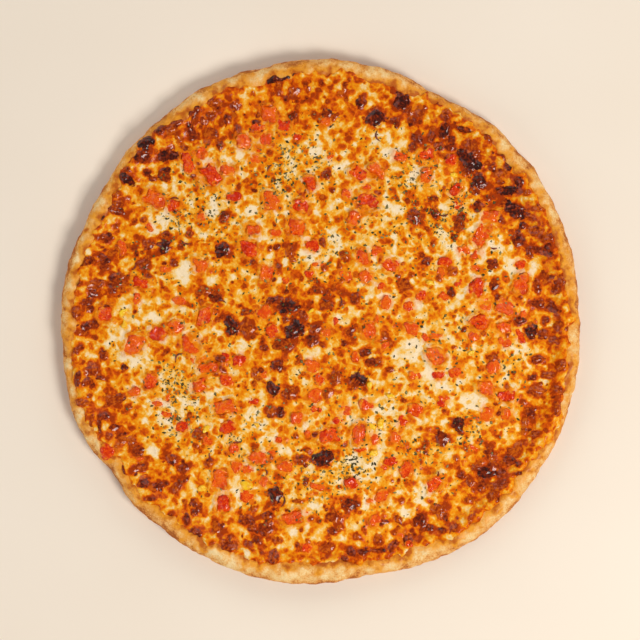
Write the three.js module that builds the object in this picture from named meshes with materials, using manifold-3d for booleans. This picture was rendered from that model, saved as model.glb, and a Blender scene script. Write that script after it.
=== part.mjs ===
// A whole margherita pizza, uncut, in millimetres with Z up.
// The origin is the middle of the dough's flat underside. The pieces are the crust, the sheet of
// melted cheese that fills it, with its brown blisters, small tomato bits and largest herb flakes,
// and the larger diced tomatoes.

import * as THREE from "three";
import { mergeVertices } from "three/addons/utils/BufferGeometryUtils.js";
import Module from "manifold-3d";

const wasm = await Module();
wasm.setup();

// The crust: a flat base with a round rim. An inset is a distance inwards from the outer edge.
const CRUST_RADIUS = 166;
const CREST_Z = 17;
const CREST_INSET = 8;
const BELLY_Z = 8;
const FOOT_INSET = 5;
const FLOOR_Z = 7;
const FLOOR_INSET = 27;
const ARC_STEPS = 4;
const SLOPE_STEPS = 4;

// The cheese: its level in the middle, the bare crust around it and how thick it lies up the rim.
const CHEESE_Z = 12.3;
const BARE_CRUST = 9;
const CHEESE_ON_RIM = 1.7;
const CHEESE_MELT = 1.6;
const EDGE_DROP = 0.8;
const EDGE_DROP_FROM = 0.97;

// Waves in the cheese: how high, and their lengths (over a full turn) along X, Y and the diagonal.
const CHEESE_WAVE = 0.55;
const SLANT_WAVE = 0.33;
const WAVE_X = { length: 107, start: 1.3 };
const WAVE_Y = { length: 132, start: -0.7 };
const WAVE_SLANT = { length: 69, start: 0 };

// Ripples of the cheese's ragged edge: how far, how many around and where the first one starts.
const EDGE_RIPPLES = [
  [0.8, 13, 1],
  [0.6, 23, 0],
];

// The clearance between pieces that touch.
const GAP = 0.3;

// Spans around the crust, and cells across the sheet of cheese.
const CRUST_SPANS = 96;
const CHEESE_CELLS = 16;

// Swells around the rim: where (degrees from +X), how wide (degrees) and how far (millimetres).
const OUTLINE_SWELLS = [
  [8, 14, -2.2],
  [62, 8, -3.8],
  [90, 16, 2.4],
  [117, 7, 1.3],
  [152, 10, -2.6],
  [202, 9, 2.8],
  [216, 5, -1.8],
  [258, 11, 1.4],
  [280, 9, -2.4],
  [311, 13, 2.5],
  [335, 7, 1.2],
];
const BARE_SWELLS = [
  [10, 16, -2],
  [61, 8, -4.5],
  [86, 13, 1.5],
  [136, 8, -4.5],
  [192, 15, -1.5],
  [266, 20, 3.5],
  [338, 13, -3],
];
const CREST_SWELLS = [
  [22, 12, 0.1],
  [63, 9, -0.16],
  [98, 11, 0.12],
  [141, 10, -0.12],
  [188, 16, 0.08],
  [247, 12, 0.12],
  [292, 9, -0.1],
  [338, 14, -0.08],
];

// The larger diced tomatoes: x, y, half length, half width and turn in degrees.
const DICE = [
  [-85, 101, 8.5, 3.2, 98],
  [-76, 106, 5.5, 3.6, 60],
  [-74, 92, 8.2, 4.2, -52],
  [-61, 95, 5.6, 4, 0],
  [-107, 77, 7.5, 4.6, -28],
  [-94, 73, 5.2, 4.6, 80],
  [-35, 134, 6.2, 5.4, 90],
  [-24, 125, 4.8, 4.4, 0],
  [-49, 114, 5.4, 5.2, 0],
  [-35, 115, 5, 4.8, 90],
  [-6, 88, 5.4, 4.2, -60],
  [-31, 76, 6.4, 5.2, 90],
  [-12, 73, 6.8, 4.6, -20],
  [-15, 59, 6.4, 5.8, 90],
  [-43, 58, 5, 3.8, 0],
  [24, 94, 6, 4.4, -40],
  [36, 96, 6.5, 3.2, -35],
  [30, 77, 8.2, 4.4, -14],
  [21, 65, 5.6, 5, 80],
  [50, 104, 5.2, 3.6, -20],
  [67, 105, 6.4, 3.6, 12],
  [67, 92, 5, 4, 80],
  [86, 84, 6, 3.8, 45],
  [107, 67, 6, 3.8, -12],
  [101, 54, 7.4, 4.6, 55],
  [-137, 5, 5, 4.8, 90],
  [-118, -15, 6.8, 6.2, 80],
  [-104, -8, 6.4, 4.6, -10],
  [-92, -3, 5, 4.6, 30],
  [-84, -16, 7.6, 3.4, -48],
  [-74, 3, 6.4, 4.6, 88],
  [-76, 35, 5.4, 5, 0],
  [-114, 24, 6, 3.6, -8],
  [-71, -30, 7.4, 3.6, 10],
  [-77, -40, 6, 4.6, 20],
  [-108, -38, 6.2, 4.6, 85],
  [-61, -54, 7.4, 4.4, 10],
  [-46, 46, 6, 5.6, 0],
  [-34, 30, 6, 4.8, 80],
  [26, 41, 5.4, 4.8, 80],
  [44, 35, 6.2, 5, -20],
  [31, -6, 6.2, 5.2, 85],
  [98, 22, 7, 4.8, 80],
  [126, 24, 7.2, 5.4, 85],
  [117, 9, 6.2, 4.8, -30],
  [101, 0, 6.2, 5.6, 45],
  [72, -22, 7.4, 5.8, -45],
  [117, -48, 7, 4.8, 0],
  [104, -42, 5.4, 5, 0],
  [24, -71, 8.2, 5.2, 90],
  [5, -72, 7.4, 4.8, 8],
  [-64, -100, 6.4, 5.6, 80],
  [-62, -115, 6.4, 5, 90],
  [-40, -86, 7.2, 4.8, 0],
  [-18, -125, 7.4, 4.6, 15],
  [72, -103, 6, 4.6, 25],
];
const DIE_HEIGHT = 5.2;
const DIE_PROUD = [1.3, 2.2];
const DIE_TAPER = 0.84;
const DIE_CROWN = 0.12;
const DIE_SIDES = 8;

// A die has a point at the middle of each side and at each corner. They lie this far from its
// middle, as shares of its half size.
const SIDE_OUT = [0.84, 1.04];
const CORNER_OUT = [0.9, 1.5];

// How much farther from its place each new try moves a die that would touch another, and how many
// tries there are.
const DIE_STEP = 0.12;
const DIE_TRIES = 90;

// Small tomato bits that are stuck in the cheese: x, y, half length, half width and turn in degrees.
const BITS = [
  [-56, 79, 5.8, 4, 0],
  [-39, 123, 6, 3, 0],
  [3, 127, 4.6, 3.6, 0],
  [82, 102, 4.5, 4.4, 0],
  [-89, 13, 6.2, 3, -15],
  [-126, 47, 6.5, 3.5, 90],
  [-59, -38, 6.5, 3.8, -35],
  [-119, -45, 5.4, 3.5, 0],
  [-6, 48, 5.4, 4.8, 0],
  [29, 28, 5.8, 4.6, 0],
  [-37, 6, 6, 5.4, 0],
  [-31, -7, 5.8, 4.4, 90],
  [-6, -28, 6, 4.8, -40],
  [-51, -25, 5.4, 4.8, 0],
  [-5, -47, 5.8, 5.6, 0],
  [22, -22, 5, 3, 90],
  [29, -53, 6, 4, 0],
  [41, 12, 5.8, 4, 90],
  [80, 38, 5.5, 3.5, 0],
  [115, -4, 6, 4.6, 0],
  [57, -4, 6.8, 4.8, -40],
  [86, -32, 5.5, 4, 20],
  [109, -30, 6.2, 5, 90],
  [-58, -67, 6.5, 4.6, 0],
  [-53, -92, 5.6, 4.4, 0],
  [-14, -61, 5, 4.5, 0],
  [61, -56, 6.5, 4.4, 0],
  [-24, -92, 6.5, 4.8, 0],
  [19, -103, 5.4, 4.8, 0],
  [38, -111, 6, 4.8, 35],
  [34, -127, 5.4, 4, 90],
  [54, -93, 6.5, 4.8, 90],
  [106, -58, 6, 5.2, 45],
  [-88, -67, 5, 4.5, 0],
];
const BIT_HEIGHT = 2.9;
const BIT_PROUD = 1.1;
const BIT_SIDES = 6;
const BIT_CORNER = 0.95;
const BIT_CORNER_SPREAD = 0.1;

// The large charred blisters: x, y, half length, half width and turn in degrees.
const CHARS = [
  [35, 129, 6, 5.4, 20],
  [51, 139, 5, 4.5, 0],
  [93, 103, 9, 4.8, -40],
  [100, 89, 4.6, 4.2, 0],
  [118, 83, 6.5, 3, 0],
  [123, 70, 7.4, 4.4, -30],
  [78, 120, 4.4, 3.6, 80],
  [-26, 154, 11, 3, 18],
  [-111, 114, 5, 4.8, 0],
  [-97, 105, 7, 3.5, 0],
  [-123, 90, 5.5, 3, -30],
  [-140, 69, 5, 3, -60],
  [-99, 48, 5, 3.5, 90],
  [-63, 45, 4.4, 4, 0],
  [-57, -3, 7, 3.5, -65],
  [-21, 10, 5.4, 4.2, 0],
  [-18, -6, 5.4, 5.2, 0],
  [-31, -43, 5, 3.5, -60],
  [23, -37, 5, 4.8, 0],
  [134, -6, 5, 4, 90],
  [1, -87, 6, 5, 0],
  [87, -65, 5, 3.8, 90],
  [104, -96, 5, 3.5, 0],
  [-29, -110, 5, 4, 90],
];
const CHAR_PROUD = 2;

// A blister's dome: its sides and rings, and how much of its height lies below the cheese.
const DOME_SIDES = 6;
const DOME_RINGS = 4;
const DOME_SUNK = 0.4;

// Smaller blisters: most lie in a ring inside the rim, the rest all over.
const RING_BLISTERS = 38;
const FIELD_BLISTERS = 10;
const BLISTER_HALF = [2.4, 4];
const BLISTER_PROUD = 1.3;
const RING_FROM = 0.83;
const RING_TO = 0.965;

// The largest flakes of dried herb.
const FLAKE_COUNT = 34;
const FLAKE_LENGTH = 1.5;
const FLAKE_WIDTH = 0.7;
const FLAKE_PROUD = 0.5;
const FLAKES_TO = 0.8;

// Scattered spots: how slim they may be, and how near a die they may come, in half sizes of theirs.
const SPOT_SLIM = [0.6, 1];
const SPOT_CLEAR = 0.5;

// Seeds of the repeatable draws.
const DICE_SEED = 2718;
const RING_SEED = 57;
const FIELD_SEED = 83;
const FLAKE_SEED = 109;

const FINISHES = {
  crust: { color: 0xe2ac6a, roughness: 0.8, metalness: 0 },
  cheese: { color: 0xe6a03c, roughness: 0.45, metalness: 0 },
  tomato: { color: 0xe0501f, roughness: 0.3, metalness: 0 },
};

const clamp01 = (t) => Math.min(1, Math.max(0, t));
const lerp = ([low, high], t) => low + (high - low) * t;

function smoothstep(from, to, value) {
  const t = clamp01((value - from) / (to - from));
  return t * t * (3 - 2 * t);
}

// The larger of two heights, with the corner between them rounded over the given span.
const meltedMax = (a, b, span) => (a + b + Math.hypot(a - b, span)) / 2;

// Sums the swells of a list at an angle in radians.
function swell(list, angle) {
  return list.reduce((sum, [at, wide, out]) => {
    const turn = THREE.MathUtils.radToDeg(angle) - at;
    const away = THREE.MathUtils.euclideanModulo(turn + 180, 360) - 180;
    return sum + out * Math.exp(-((away / wide) ** 2));
  }, 0);
}

// Repeatable draws from 0 to 1, each worked out from the one before by a multiplication.
const DRAW_FACTOR = 16807;
const DRAW_RANGE = 2147483647;

function drawer(seed) {
  let state = seed;
  return () => {
    state = (state * DRAW_FACTOR) % DRAW_RANGE;
    return state / DRAW_RANGE;
  };
}

// How far the middle of the plain outline's box lies from its centre, so that it can be taken off.
function outlineMiddle() {
  const box = new THREE.Box2();
  for (let i = 0; i < CRUST_SPANS; i++) {
    const angle = (2 * Math.PI * i) / CRUST_SPANS;
    const radius = CRUST_RADIUS + swell(OUTLINE_SWELLS, angle);
    box.expandByPoint(new THREE.Vector2(Math.cos(angle), Math.sin(angle)).multiplyScalar(radius));
  }
  return box.getCenter(new THREE.Vector2());
}

const middle = outlineMiddle();

function rimRadius(angle) {
  const shift = middle.x * Math.cos(angle) + middle.y * Math.sin(angle);
  return CRUST_RADIUS + swell(OUTLINE_SWELLS, angle) - shift;
}

const rimLift = (angle) => 1 + swell(CREST_SWELLS, angle);

// The cheese's ragged outer edge.
function cheeseRadius(angle) {
  const ragged = EDGE_RIPPLES.reduce(
    (sum, [out, around, start]) => sum + out * Math.sin(around * angle + start),
    0,
  );
  return rimRadius(angle) - BARE_CRUST - swell(BARE_SWELLS, angle) + ragged;
}

// The dough's upper side from its outer edge to the crest.
function crestHeight(inset) {
  const away = 1 - clamp01(inset / CREST_INSET);
  return THREE.MathUtils.lerp(BELLY_Z, CREST_Z, Math.sqrt(1 - away ** 2));
}

// The dough's upper side from the crest inwards.
function slopeHeight(inset) {
  return THREE.MathUtils.lerp(CREST_Z, FLOOR_Z, smoothstep(CREST_INSET, FLOOR_INSET, inset));
}

const lifted = (z, angle) => (z > FLOOR_Z ? FLOOR_Z + (z - FLOOR_Z) * rimLift(angle) : z);

function doughTop(x, y) {
  const angle = Math.atan2(y, x);
  const inset = (1 - Math.hypot(x, y) / rimRadius(angle)) * CRUST_RADIUS;
  return lifted(inset < CREST_INSET ? crestHeight(inset) : slopeHeight(inset), angle);
}

const phase = (wave, along) => (2 * Math.PI * along) / wave.length + wave.start;

// The upper side of the cheese, without its blisters.
function cheeseTop(x, y) {
  const share = Math.hypot(x, y) / cheeseRadius(Math.atan2(y, x));
  const level = meltedMax(CHEESE_Z, doughTop(x, y) + CHEESE_ON_RIM, CHEESE_MELT);
  const square = CHEESE_WAVE * Math.sin(phase(WAVE_X, x)) * Math.cos(phase(WAVE_Y, y));
  const slanted = SLANT_WAVE * Math.sin(phase(WAVE_SLANT, x + y));
  return level + square + slanted - EDGE_DROP * smoothstep(EDGE_DROP_FROM, 1, share);
}

// Moves every vertex of a geometry to where place(vertex) puts it.
function reshaped(geometry, place) {
  const position = geometry.getAttribute("position");
  const vertex = new THREE.Vector3();
  for (let i = 0; i < position.count; i++) {
    place(vertex.fromBufferAttribute(position, i));
    position.setXYZ(i, vertex.x, vertex.y, vertex.z);
  }
  return geometry;
}

function solidOf(geometry) {
  geometry.deleteAttribute("normal");
  geometry.deleteAttribute("uv");
  const merged = mergeVertices(geometry, 1e-4);
  return new wasm.Manifold(
    new wasm.Mesh({
      numProp: 3,
      vertProperties: new Float32Array(merged.attributes.position.array),
      triVerts: new Uint32Array(merged.index.array),
    }),
  );
}

function meshOf(name, solid, finish) {
  const { vertProperties, triVerts } = solid.getMesh();
  const geometry = new THREE.BufferGeometry();
  geometry.setAttribute("position", new THREE.BufferAttribute(vertProperties, 3));
  geometry.setIndex(new THREE.BufferAttribute(triVerts, 1));
  geometry.computeVertexNormals();
  const mesh = new THREE.Mesh(geometry, new THREE.MeshStandardMaterial(FINISHES[finish]));
  mesh.name = name;
  return mesh;
}

// Half outline of the crust from the middle of the underside, round the rim, to the floor's middle.
function crustProfile() {
  const points = [new THREE.Vector2(0, 0)];
  const add = (inset, z) => points.push(new THREE.Vector2(CRUST_RADIUS - inset, z));
  for (let i = ARC_STEPS; i > 0; i--) {
    const t = ((Math.PI / 2) * i) / ARC_STEPS;
    add(FOOT_INSET * (1 - Math.cos(t)), BELLY_Z * (1 - Math.sin(t)));
  }
  for (let i = 0; i < ARC_STEPS; i++) {
    const t = ((Math.PI / 2) * i) / ARC_STEPS;
    add(CREST_INSET * (1 - Math.cos(t)), THREE.MathUtils.lerp(BELLY_Z, CREST_Z, Math.sin(t)));
  }
  for (let i = 0; i <= SLOPE_STEPS; i++) {
    const inset = lerp([CREST_INSET, FLOOR_INSET], i / SLOPE_STEPS);
    add(inset, slopeHeight(inset));
  }
  points.push(new THREE.Vector2(0, FLOOR_Z));
  return points;
}

function crustSolid() {
  const turned = new THREE.LatheGeometry(crustProfile(), CRUST_SPANS).rotateX(Math.PI / 2);
  return solidOf(
    reshaped(turned, (v) => {
      const angle = Math.atan2(v.y, v.x);
      const stretch = rimRadius(angle) / CRUST_RADIUS;
      v.set(v.x * stretch, v.y * stretch, lifted(Math.max(v.z, 0), angle));
    }),
  );
}

// A slab whose square grid is drawn out into a disc: each square ring of cells becomes a round one.
function cheeseSlab() {
  const slab = new THREE.BoxGeometry(2, 2, 2, CHEESE_CELLS, CHEESE_CELLS, 1);
  return solidOf(
    reshaped(slab, (v) => {
      const ring = Math.max(Math.abs(v.x), Math.abs(v.y));
      const sideways = Math.abs(v.x) < Math.abs(v.y);
      const along = ring ? (sideways ? v.x / v.y : v.y / v.x) : 0;
      const quarter = sideways ? Math.PI / 2 - (along * Math.PI) / 4 : (along * Math.PI) / 4;
      const angle = quarter + ((sideways ? v.y : v.x) < 0 ? Math.PI : 0);
      const radius = ring * cheeseRadius(angle);
      const x = radius * Math.cos(angle);
      const y = radius * Math.sin(angle);
      v.set(x, y, v.z > 0 ? cheeseTop(x, y) : FLOOR_Z / 2);
    }),
  );
}

// A chunk of diced tomato: a rounded block with uneven corners, a tapered top and a crown.
// grow widens it on every side, for the pocket that it lies in.
function chunkSolid({ x, y, turn, halfLength, halfWidth, height, proud, corners }, grow = 0) {
  const sides = corners.length;
  const block = new THREE.CylinderGeometry(DIE_TAPER, 1, 1, sides, 1).rotateX(Math.PI / 2);
  const crown = height * DIE_CROWN;
  const bottom = cheeseTop(x, y) + proud - height;
  const seat = new THREE.Matrix4()
    .makeRotationZ(turn)
    .setPosition(x, y, bottom + height / 2);
  return solidOf(
    reshaped(block, (v) => {
      const around = Math.atan2(v.y, v.x);
      const radius = Math.hypot(v.x, v.y);
      const side = Math.round((around / (2 * Math.PI)) * sides + sides) % sides;
      const top = v.z > 0;
      const uneven = corners[side] * radius;
      const middle = radius < DIE_TAPER / 2;
      const lift = top ? crown * (middle ? 1 : corners[side] - 1) : 0;
      v.set(
        Math.cos(around) * uneven * (halfLength + grow),
        Math.sin(around) * uneven * (halfWidth + grow),
        v.z * (height + 2 * grow) + lift,
      );
      v.applyMatrix4(seat);
    }),
  );
}

const drawCorners = (draw) =>
  Array.from({ length: DIE_SIDES }, (_, i) => lerp(i % 2 ? CORNER_OUT : SIDE_OUT, draw()));

// The larger dice. Each moves away from its place until it is clear of the others and the dough.
// Its reach is a quarter of its box's length and width together.
function drawDice(dough) {
  const draw = drawer(DICE_SEED);
  const dice = [];
  let taken = dough;
  for (const [atX, atY, halfLength, halfWidth, degrees] of DICE) {
    const proud = lerp(DIE_PROUD, draw());
    const corners = drawCorners(draw);
    for (let attempt = 0; attempt < DIE_TRIES; attempt++) {
      const away = attempt * DIE_STEP;
      const heading = 2 * Math.PI * draw();
      const die = {
        x: atX + away * Math.cos(heading),
        y: atY + away * Math.sin(heading),
        turn: THREE.MathUtils.degToRad(degrees),
        halfLength,
        halfWidth,
        height: DIE_HEIGHT,
        proud,
        corners,
      };
      const pocket = chunkSolid(die, GAP);
      if (taken.intersect(pocket).isEmpty()) {
        taken = taken.add(pocket);
        dice.push({ ...die, pocket, ...boxOf(chunkSolid(die)) });
        break;
      }
    }
  }
  return dice;
}

// The middle and the reach of a solid's box, seen from above.
function boxOf(solid) {
  const { min, max } = solid.boundingBox();
  return {
    middleX: (min[0] + max[0]) / 2,
    middleY: (min[1] + max[1]) / 2,
    reach: (max[0] - min[0] + max[1] - min[1]) / 4,
  };
}

// Spots drawn one by one, each redrawn until it keeps clear of the dice and of the spots before it.
function drawSpots(count, seed, half, [from, to], dice) {
  const draw = drawer(seed);
  const spots = [];
  while (spots.length < count) {
    const angle = 2 * Math.PI * draw();
    const radius = Math.sqrt(lerp([from ** 2, to ** 2], draw())) * cheeseRadius(angle);
    const spot = {
      x: radius * Math.cos(angle),
      y: radius * Math.sin(angle),
      half: lerp(half, draw()),
      turn: Math.PI * draw(),
      slim: lerp(SPOT_SLIM, draw()),
    };
    const away = (x, y, reach) => Math.hypot(spot.x - x, spot.y - y) > reach;
    const clear =
      dice.every((die) => away(die.middleX, die.middleY, spot.half * SPOT_CLEAR + die.reach)) &&
      spots.every((other) => away(other.x, other.y, spot.half + other.half));
    if (clear) spots.push(spot);
  }
  return spots;
}

// A low dome that stands up from the cheese by proud.
function domeSolid({ x, y, halfLength, halfWidth, turn, proud }) {
  const dome = new THREE.SphereGeometry(1, DOME_SIDES, DOME_RINGS).rotateX(Math.PI / 2);
  dome.scale(halfLength, halfWidth, proud * (1 + DOME_SUNK));
  dome.rotateZ(turn).translate(x, y, cheeseTop(x, y) - proud * DOME_SUNK);
  return solidOf(dome);
}

const charSolid = ([x, y, halfLength, halfWidth, degrees]) =>
  domeSolid({
    x,
    y,
    halfLength,
    halfWidth,
    turn: THREE.MathUtils.degToRad(degrees),
    proud: CHAR_PROUD,
  });

const blisterSolid = ({ x, y, half, turn, slim }) =>
  domeSolid({ x, y, halfLength: half, halfWidth: half * slim, turn, proud: BLISTER_PROUD });

// A small tomato bit, shaped as the dice are, with corners that follow from its own place.
function bitSolid([x, y, halfLength, halfWidth, degrees]) {
  const corners = Array.from(
    { length: BIT_SIDES },
    (_, i) => BIT_CORNER + BIT_CORNER_SPREAD * Math.sin(i * i + x),
  );
  return chunkSolid({
    x,
    y,
    turn: THREE.MathUtils.degToRad(degrees),
    halfLength,
    halfWidth,
    height: BIT_HEIGHT,
    proud: BIT_PROUD,
    corners,
  });
}

function flakeSolid({ x, y, turn }) {
  const flake = new THREE.OctahedronGeometry(1);
  flake.scale(FLAKE_LENGTH / 2, FLAKE_WIDTH / 2, 2 * FLAKE_PROUD);
  flake.rotateZ(turn).translate(x, y, cheeseTop(x, y) - FLAKE_PROUD);
  return solidOf(flake);
}

const largest = (solid) =>
  solid.decompose().reduce((best, piece) => (piece.volume() > best.volume() ? piece : best));

// The cheese with everything that is stuck to it, cut to the dough below and to the dice's pockets.
function cheeseSolid(liftedDough, dice) {
  const flakeHalf = [FLAKE_LENGTH, FLAKE_LENGTH];
  const ring = drawSpots(RING_BLISTERS, RING_SEED, BLISTER_HALF, [RING_FROM, RING_TO], dice);
  const field = drawSpots(FIELD_BLISTERS, FIELD_SEED, BLISTER_HALF, [0, RING_FROM], dice);
  const flakes = drawSpots(FLAKE_COUNT, FLAKE_SEED, flakeHalf, [0, FLAKES_TO], dice);
  const stuck = [
    ...CHARS.map(charSolid),
    ...[...ring, ...field].map(blisterSolid),
    ...BITS.map(bitSolid),
    ...flakes.map(flakeSolid),
  ];
  const joined = stuck.reduce((sum, piece) => sum.add(piece), cheeseSlab());
  const cut = dice.reduce((rest, die) => rest.subtract(die.pocket), joined.subtract(liftedDough));
  return largest(cut);
}

const pizza = new THREE.Group();
const crust = crustSolid();
const liftedCrust = crust.translate([0, 0, GAP]);
const dice = drawDice(liftedCrust);
pizza.add(meshOf("crust", crust, "crust"));
pizza.add(meshOf("cheese", cheeseSolid(liftedCrust, dice), "cheese"));
dice.forEach((die, i) => {
  const name = `tomato_die_${String(i + 1).padStart(2, "0")}`;
  pizza.add(meshOf(name, chunkSolid(die), "tomato"));
});

export default pizza;
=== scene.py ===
"""A whole margherita pizza on a pale floor, seen from straight above.

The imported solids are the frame: +Z is up, +X is right and +Y is the top of the picture. The pieces
made here are shaped in millimetres, with the solids' own sizes, and scaled to metres at the end.
"""

import math

import bmesh
import bpy
import numpy as np
from mathutils import Matrix, Vector


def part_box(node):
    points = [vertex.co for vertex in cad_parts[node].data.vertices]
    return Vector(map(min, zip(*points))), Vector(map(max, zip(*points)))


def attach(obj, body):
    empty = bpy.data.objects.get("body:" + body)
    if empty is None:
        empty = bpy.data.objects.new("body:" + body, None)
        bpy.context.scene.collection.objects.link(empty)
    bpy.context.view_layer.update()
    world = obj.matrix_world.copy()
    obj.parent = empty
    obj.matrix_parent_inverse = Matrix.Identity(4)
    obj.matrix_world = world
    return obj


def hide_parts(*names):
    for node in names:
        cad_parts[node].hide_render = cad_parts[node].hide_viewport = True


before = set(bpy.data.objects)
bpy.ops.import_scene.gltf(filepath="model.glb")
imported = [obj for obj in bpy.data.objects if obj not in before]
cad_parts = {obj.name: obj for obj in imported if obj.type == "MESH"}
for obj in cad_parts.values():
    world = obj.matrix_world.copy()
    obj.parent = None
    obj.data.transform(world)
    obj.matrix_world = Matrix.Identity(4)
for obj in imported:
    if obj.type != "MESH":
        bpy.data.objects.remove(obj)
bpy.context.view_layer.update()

MM = 0.001

# Values of the noise: what its cells are numbered by, how those numbers are stirred and cut into
# bytes, and how far the noise is drawn out.
HASH_FACTORS = (73856093, 19349663, 83492791)
HASH_SHIFT = 2654435
HASH_STIR = 1274126177
HASH_FOLDS = (15, 13)
BYTE = 255
BYTE_PLACES = (0, 8, 16)
OCTAVE_SHIFT = 101
NOISE_GAIN = 1.3

# Each use of the noise has a shift of its own, so that no two of them run alike. A die adds its
# number to it.
LUMP_SHIFT = 1
WARP_SHIFTS = (2, 3)
TOAST_SHIFT = 4
BLISTER_SHIFT = 5
RIPPLE_SHIFT = 6
LIP_SHIFT = 7
EDGE_SHIFT = 8
DOUGH_SHIFT = 11
BIT_SHIFT = 15
DIE_SHIFT = 20

# The crust, as its solid has it. An inset is a distance inwards from the outer edge.
CRUST_RADIUS = 166
CREST_Z = 17
CREST_INSET = 8
BELLY_Z = 8
FOOT_INSET = 5
FLOOR_Z = 7
FLOOR_INSET = 27
CRUST_SPANS = 96

# The cheese, as its solid has it.
CHEESE_Z = 12.3
BARE_CRUST = 9
CHEESE_ON_RIM = 1.7
CHEESE_MELT = 1.6
EDGE_DROP = 0.8
EDGE_DROP_FROM = 0.97
CHEESE_WAVE = 0.55
SLANT_WAVE = 0.33
WAVE_X = (107, 1.3)
WAVE_Y = (132, -0.7)
WAVE_SLANT = (69, 0)
EDGE_RIPPLES = ((0.8, 13, 1), (0.6, 23, 0))

# The gap that the solids keep from each other, and how near to each other two corners are one.
GAP = 0.3
ONE_PLACE = GAP / 10

# Swells around the rim: where (degrees from +X), how wide (degrees) and how far (millimetres).
OUTLINE_SWELLS = (
    (8, 14, -2.2),
    (62, 8, -3.8),
    (90, 16, 2.4),
    (117, 7, 1.3),
    (152, 10, -2.6),
    (202, 9, 2.8),
    (216, 5, -1.8),
    (258, 11, 1.4),
    (280, 9, -2.4),
    (311, 13, 2.5),
    (335, 7, 1.2),
)
BARE_SWELLS = (
    (10, 16, -2),
    (61, 8, -4.5),
    (86, 13, 1.5),
    (136, 8, -4.5),
    (192, 15, -1.5),
    (266, 20, 3.5),
    (338, 13, -3),
)
CREST_SWELLS = (
    (22, 12, 0.1),
    (63, 9, -0.16),
    (98, 11, 0.12),
    (141, 10, -0.12),
    (188, 16, 0.08),
    (247, 12, 0.12),
    (292, 9, -0.1),
    (338, 14, -0.08),
)

# The large charred blisters: x, y, half length, half width and turn in degrees.
CHARS = (
    (35, 129, 6, 5.4, 20), (51, 139, 5, 4.5, 0), (93, 103, 9, 4.8, -40), (100, 89, 4.6, 4.2, 0),
    (118, 83, 6.5, 3, 0), (123, 70, 7.4, 4.4, -30), (78, 120, 4.4, 3.6, 80), (-26, 154, 11, 3, 18),
    (-111, 114, 5, 4.8, 0), (-97, 105, 7, 3.5, 0), (-123, 90, 5.5, 3, -30), (-140, 69, 5, 3, -60),
    (-99, 48, 5, 3.5, 90), (-63, 45, 4.4, 4, 0), (-57, -3, 7, 3.5, -65), (-21, 10, 5.4, 4.2, 0),
    (-18, -6, 5.4, 5.2, 0), (-31, -43, 5, 3.5, -60), (23, -37, 5, 4.8, 0), (134, -6, 5, 4, 90),
    (1, -87, 6, 5, 0), (87, -65, 5, 3.8, 90), (104, -96, 5, 3.5, 0), (-29, -110, 5, 4, 90),
)
CHAR_PROUD = 2
DOME_SUNK = 0.4

# Small tomato bits that are stuck in the cheese: x, y, half length, half width and turn in degrees.
BITS = (
    (-56, 79, 5.8, 4, 0), (-39, 123, 6, 3, 0), (3, 127, 4.6, 3.6, 0), (82, 102, 4.5, 4.4, 0),
    (-89, 13, 6.2, 3, -15), (-126, 47, 6.5, 3.5, 90), (-59, -38, 6.5, 3.8, -35),
    (-119, -45, 5.4, 3.5, 0), (-6, 48, 5.4, 4.8, 0), (29, 28, 5.8, 4.6, 0), (-37, 6, 6, 5.4, 0),
    (-31, -7, 5.8, 4.4, 90), (-6, -28, 6, 4.8, -40), (-51, -25, 5.4, 4.8, 0),
    (-5, -47, 5.8, 5.6, 0), (22, -22, 5, 3, 90), (29, -53, 6, 4, 0), (41, 12, 5.8, 4, 90),
    (80, 38, 5.5, 3.5, 0), (115, -4, 6, 4.6, 0), (57, -4, 6.8, 4.8, -40), (86, -32, 5.5, 4, 20),
    (109, -30, 6.2, 5, 90), (-58, -67, 6.5, 4.6, 0), (-53, -92, 5.6, 4.4, 0), (-14, -61, 5, 4.5, 0),
    (61, -56, 6.5, 4.4, 0), (-24, -92, 6.5, 4.8, 0), (19, -103, 5.4, 4.8, 0),
    (38, -111, 6, 4.8, 35), (34, -127, 5.4, 4, 90), (54, -93, 6.5, 4.8, 90), (106, -58, 6, 5.2, 45),
    (-88, -67, 5, 4.5, 0),
)

# The drawn blisters and herb flakes that the cheese's solid has, and the bits' sizes.
RING_BLISTERS = 38
FIELD_BLISTERS = 10
BLISTER_HALF = (2.4, 4)
BLISTER_PROUD = 1.3
RING_FROM = 0.83
RING_TO = 0.965
BIT_HEIGHT = 2.9
BIT_PROUD = 1.1
BIT_SIDES = 6
BIT_CORNER = 0.95
BIT_TAPER = 0.84
BIT_CROWN = 0.12
FLAKE_COUNT = 34
FLAKE_LENGTH = 1.5
FLAKE_WIDTH = 0.7
FLAKE_PROUD = 0.5
FLAKES_TO = 0.8
SPOT_SLIM = (0.6, 1)
SPOT_CLEAR = 0.5
RING_SEED = 57
FIELD_SEED = 83
FLAKE_SEED = 109
DRAW_FACTOR = 16807
DRAW_RANGE = 2147483647

# Patches where the cheese stayed cream: x, y and size.
CREAM_PATCHES = (
    (-100, 88, 8), (-74, 102, 6), (-52, 102, 7), (-3, 108, 9), (-100, 65, 9), (-67, 71, 7),
    (-41, 70, 6), (-87, 32, 8), (-4, 45, 9), (-109, 4, 8), (-130, -6, 10), (-119, -25, 10),
    (-119, -48, 8), (-96, -60, 12), (-52, -15, 6), (-38, -63, 9), (-59, -107, 8), (-104, -80, 6),
    (-19, -137, 6), (-8, -118, 8), (60, -17, 10), (39, -60, 10), (76, -37, 11), (98, -53, 8),
    (26, -93, 12), (67, -111, 8), (125, -20, 7), (52, -122, 7), (30, -117, 6), (38, 119, 9),
    (47, 112, 8), (9, 95, 7), (62, 95, 9), (45, 71, 7), (10, 51, 8), (100, 66, 8), (107, 42, 12),
    (120, 34, 8), (84, 47, 6), (38, 18, 9), (12, 1, 6), (30, 143, 5),
)

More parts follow.
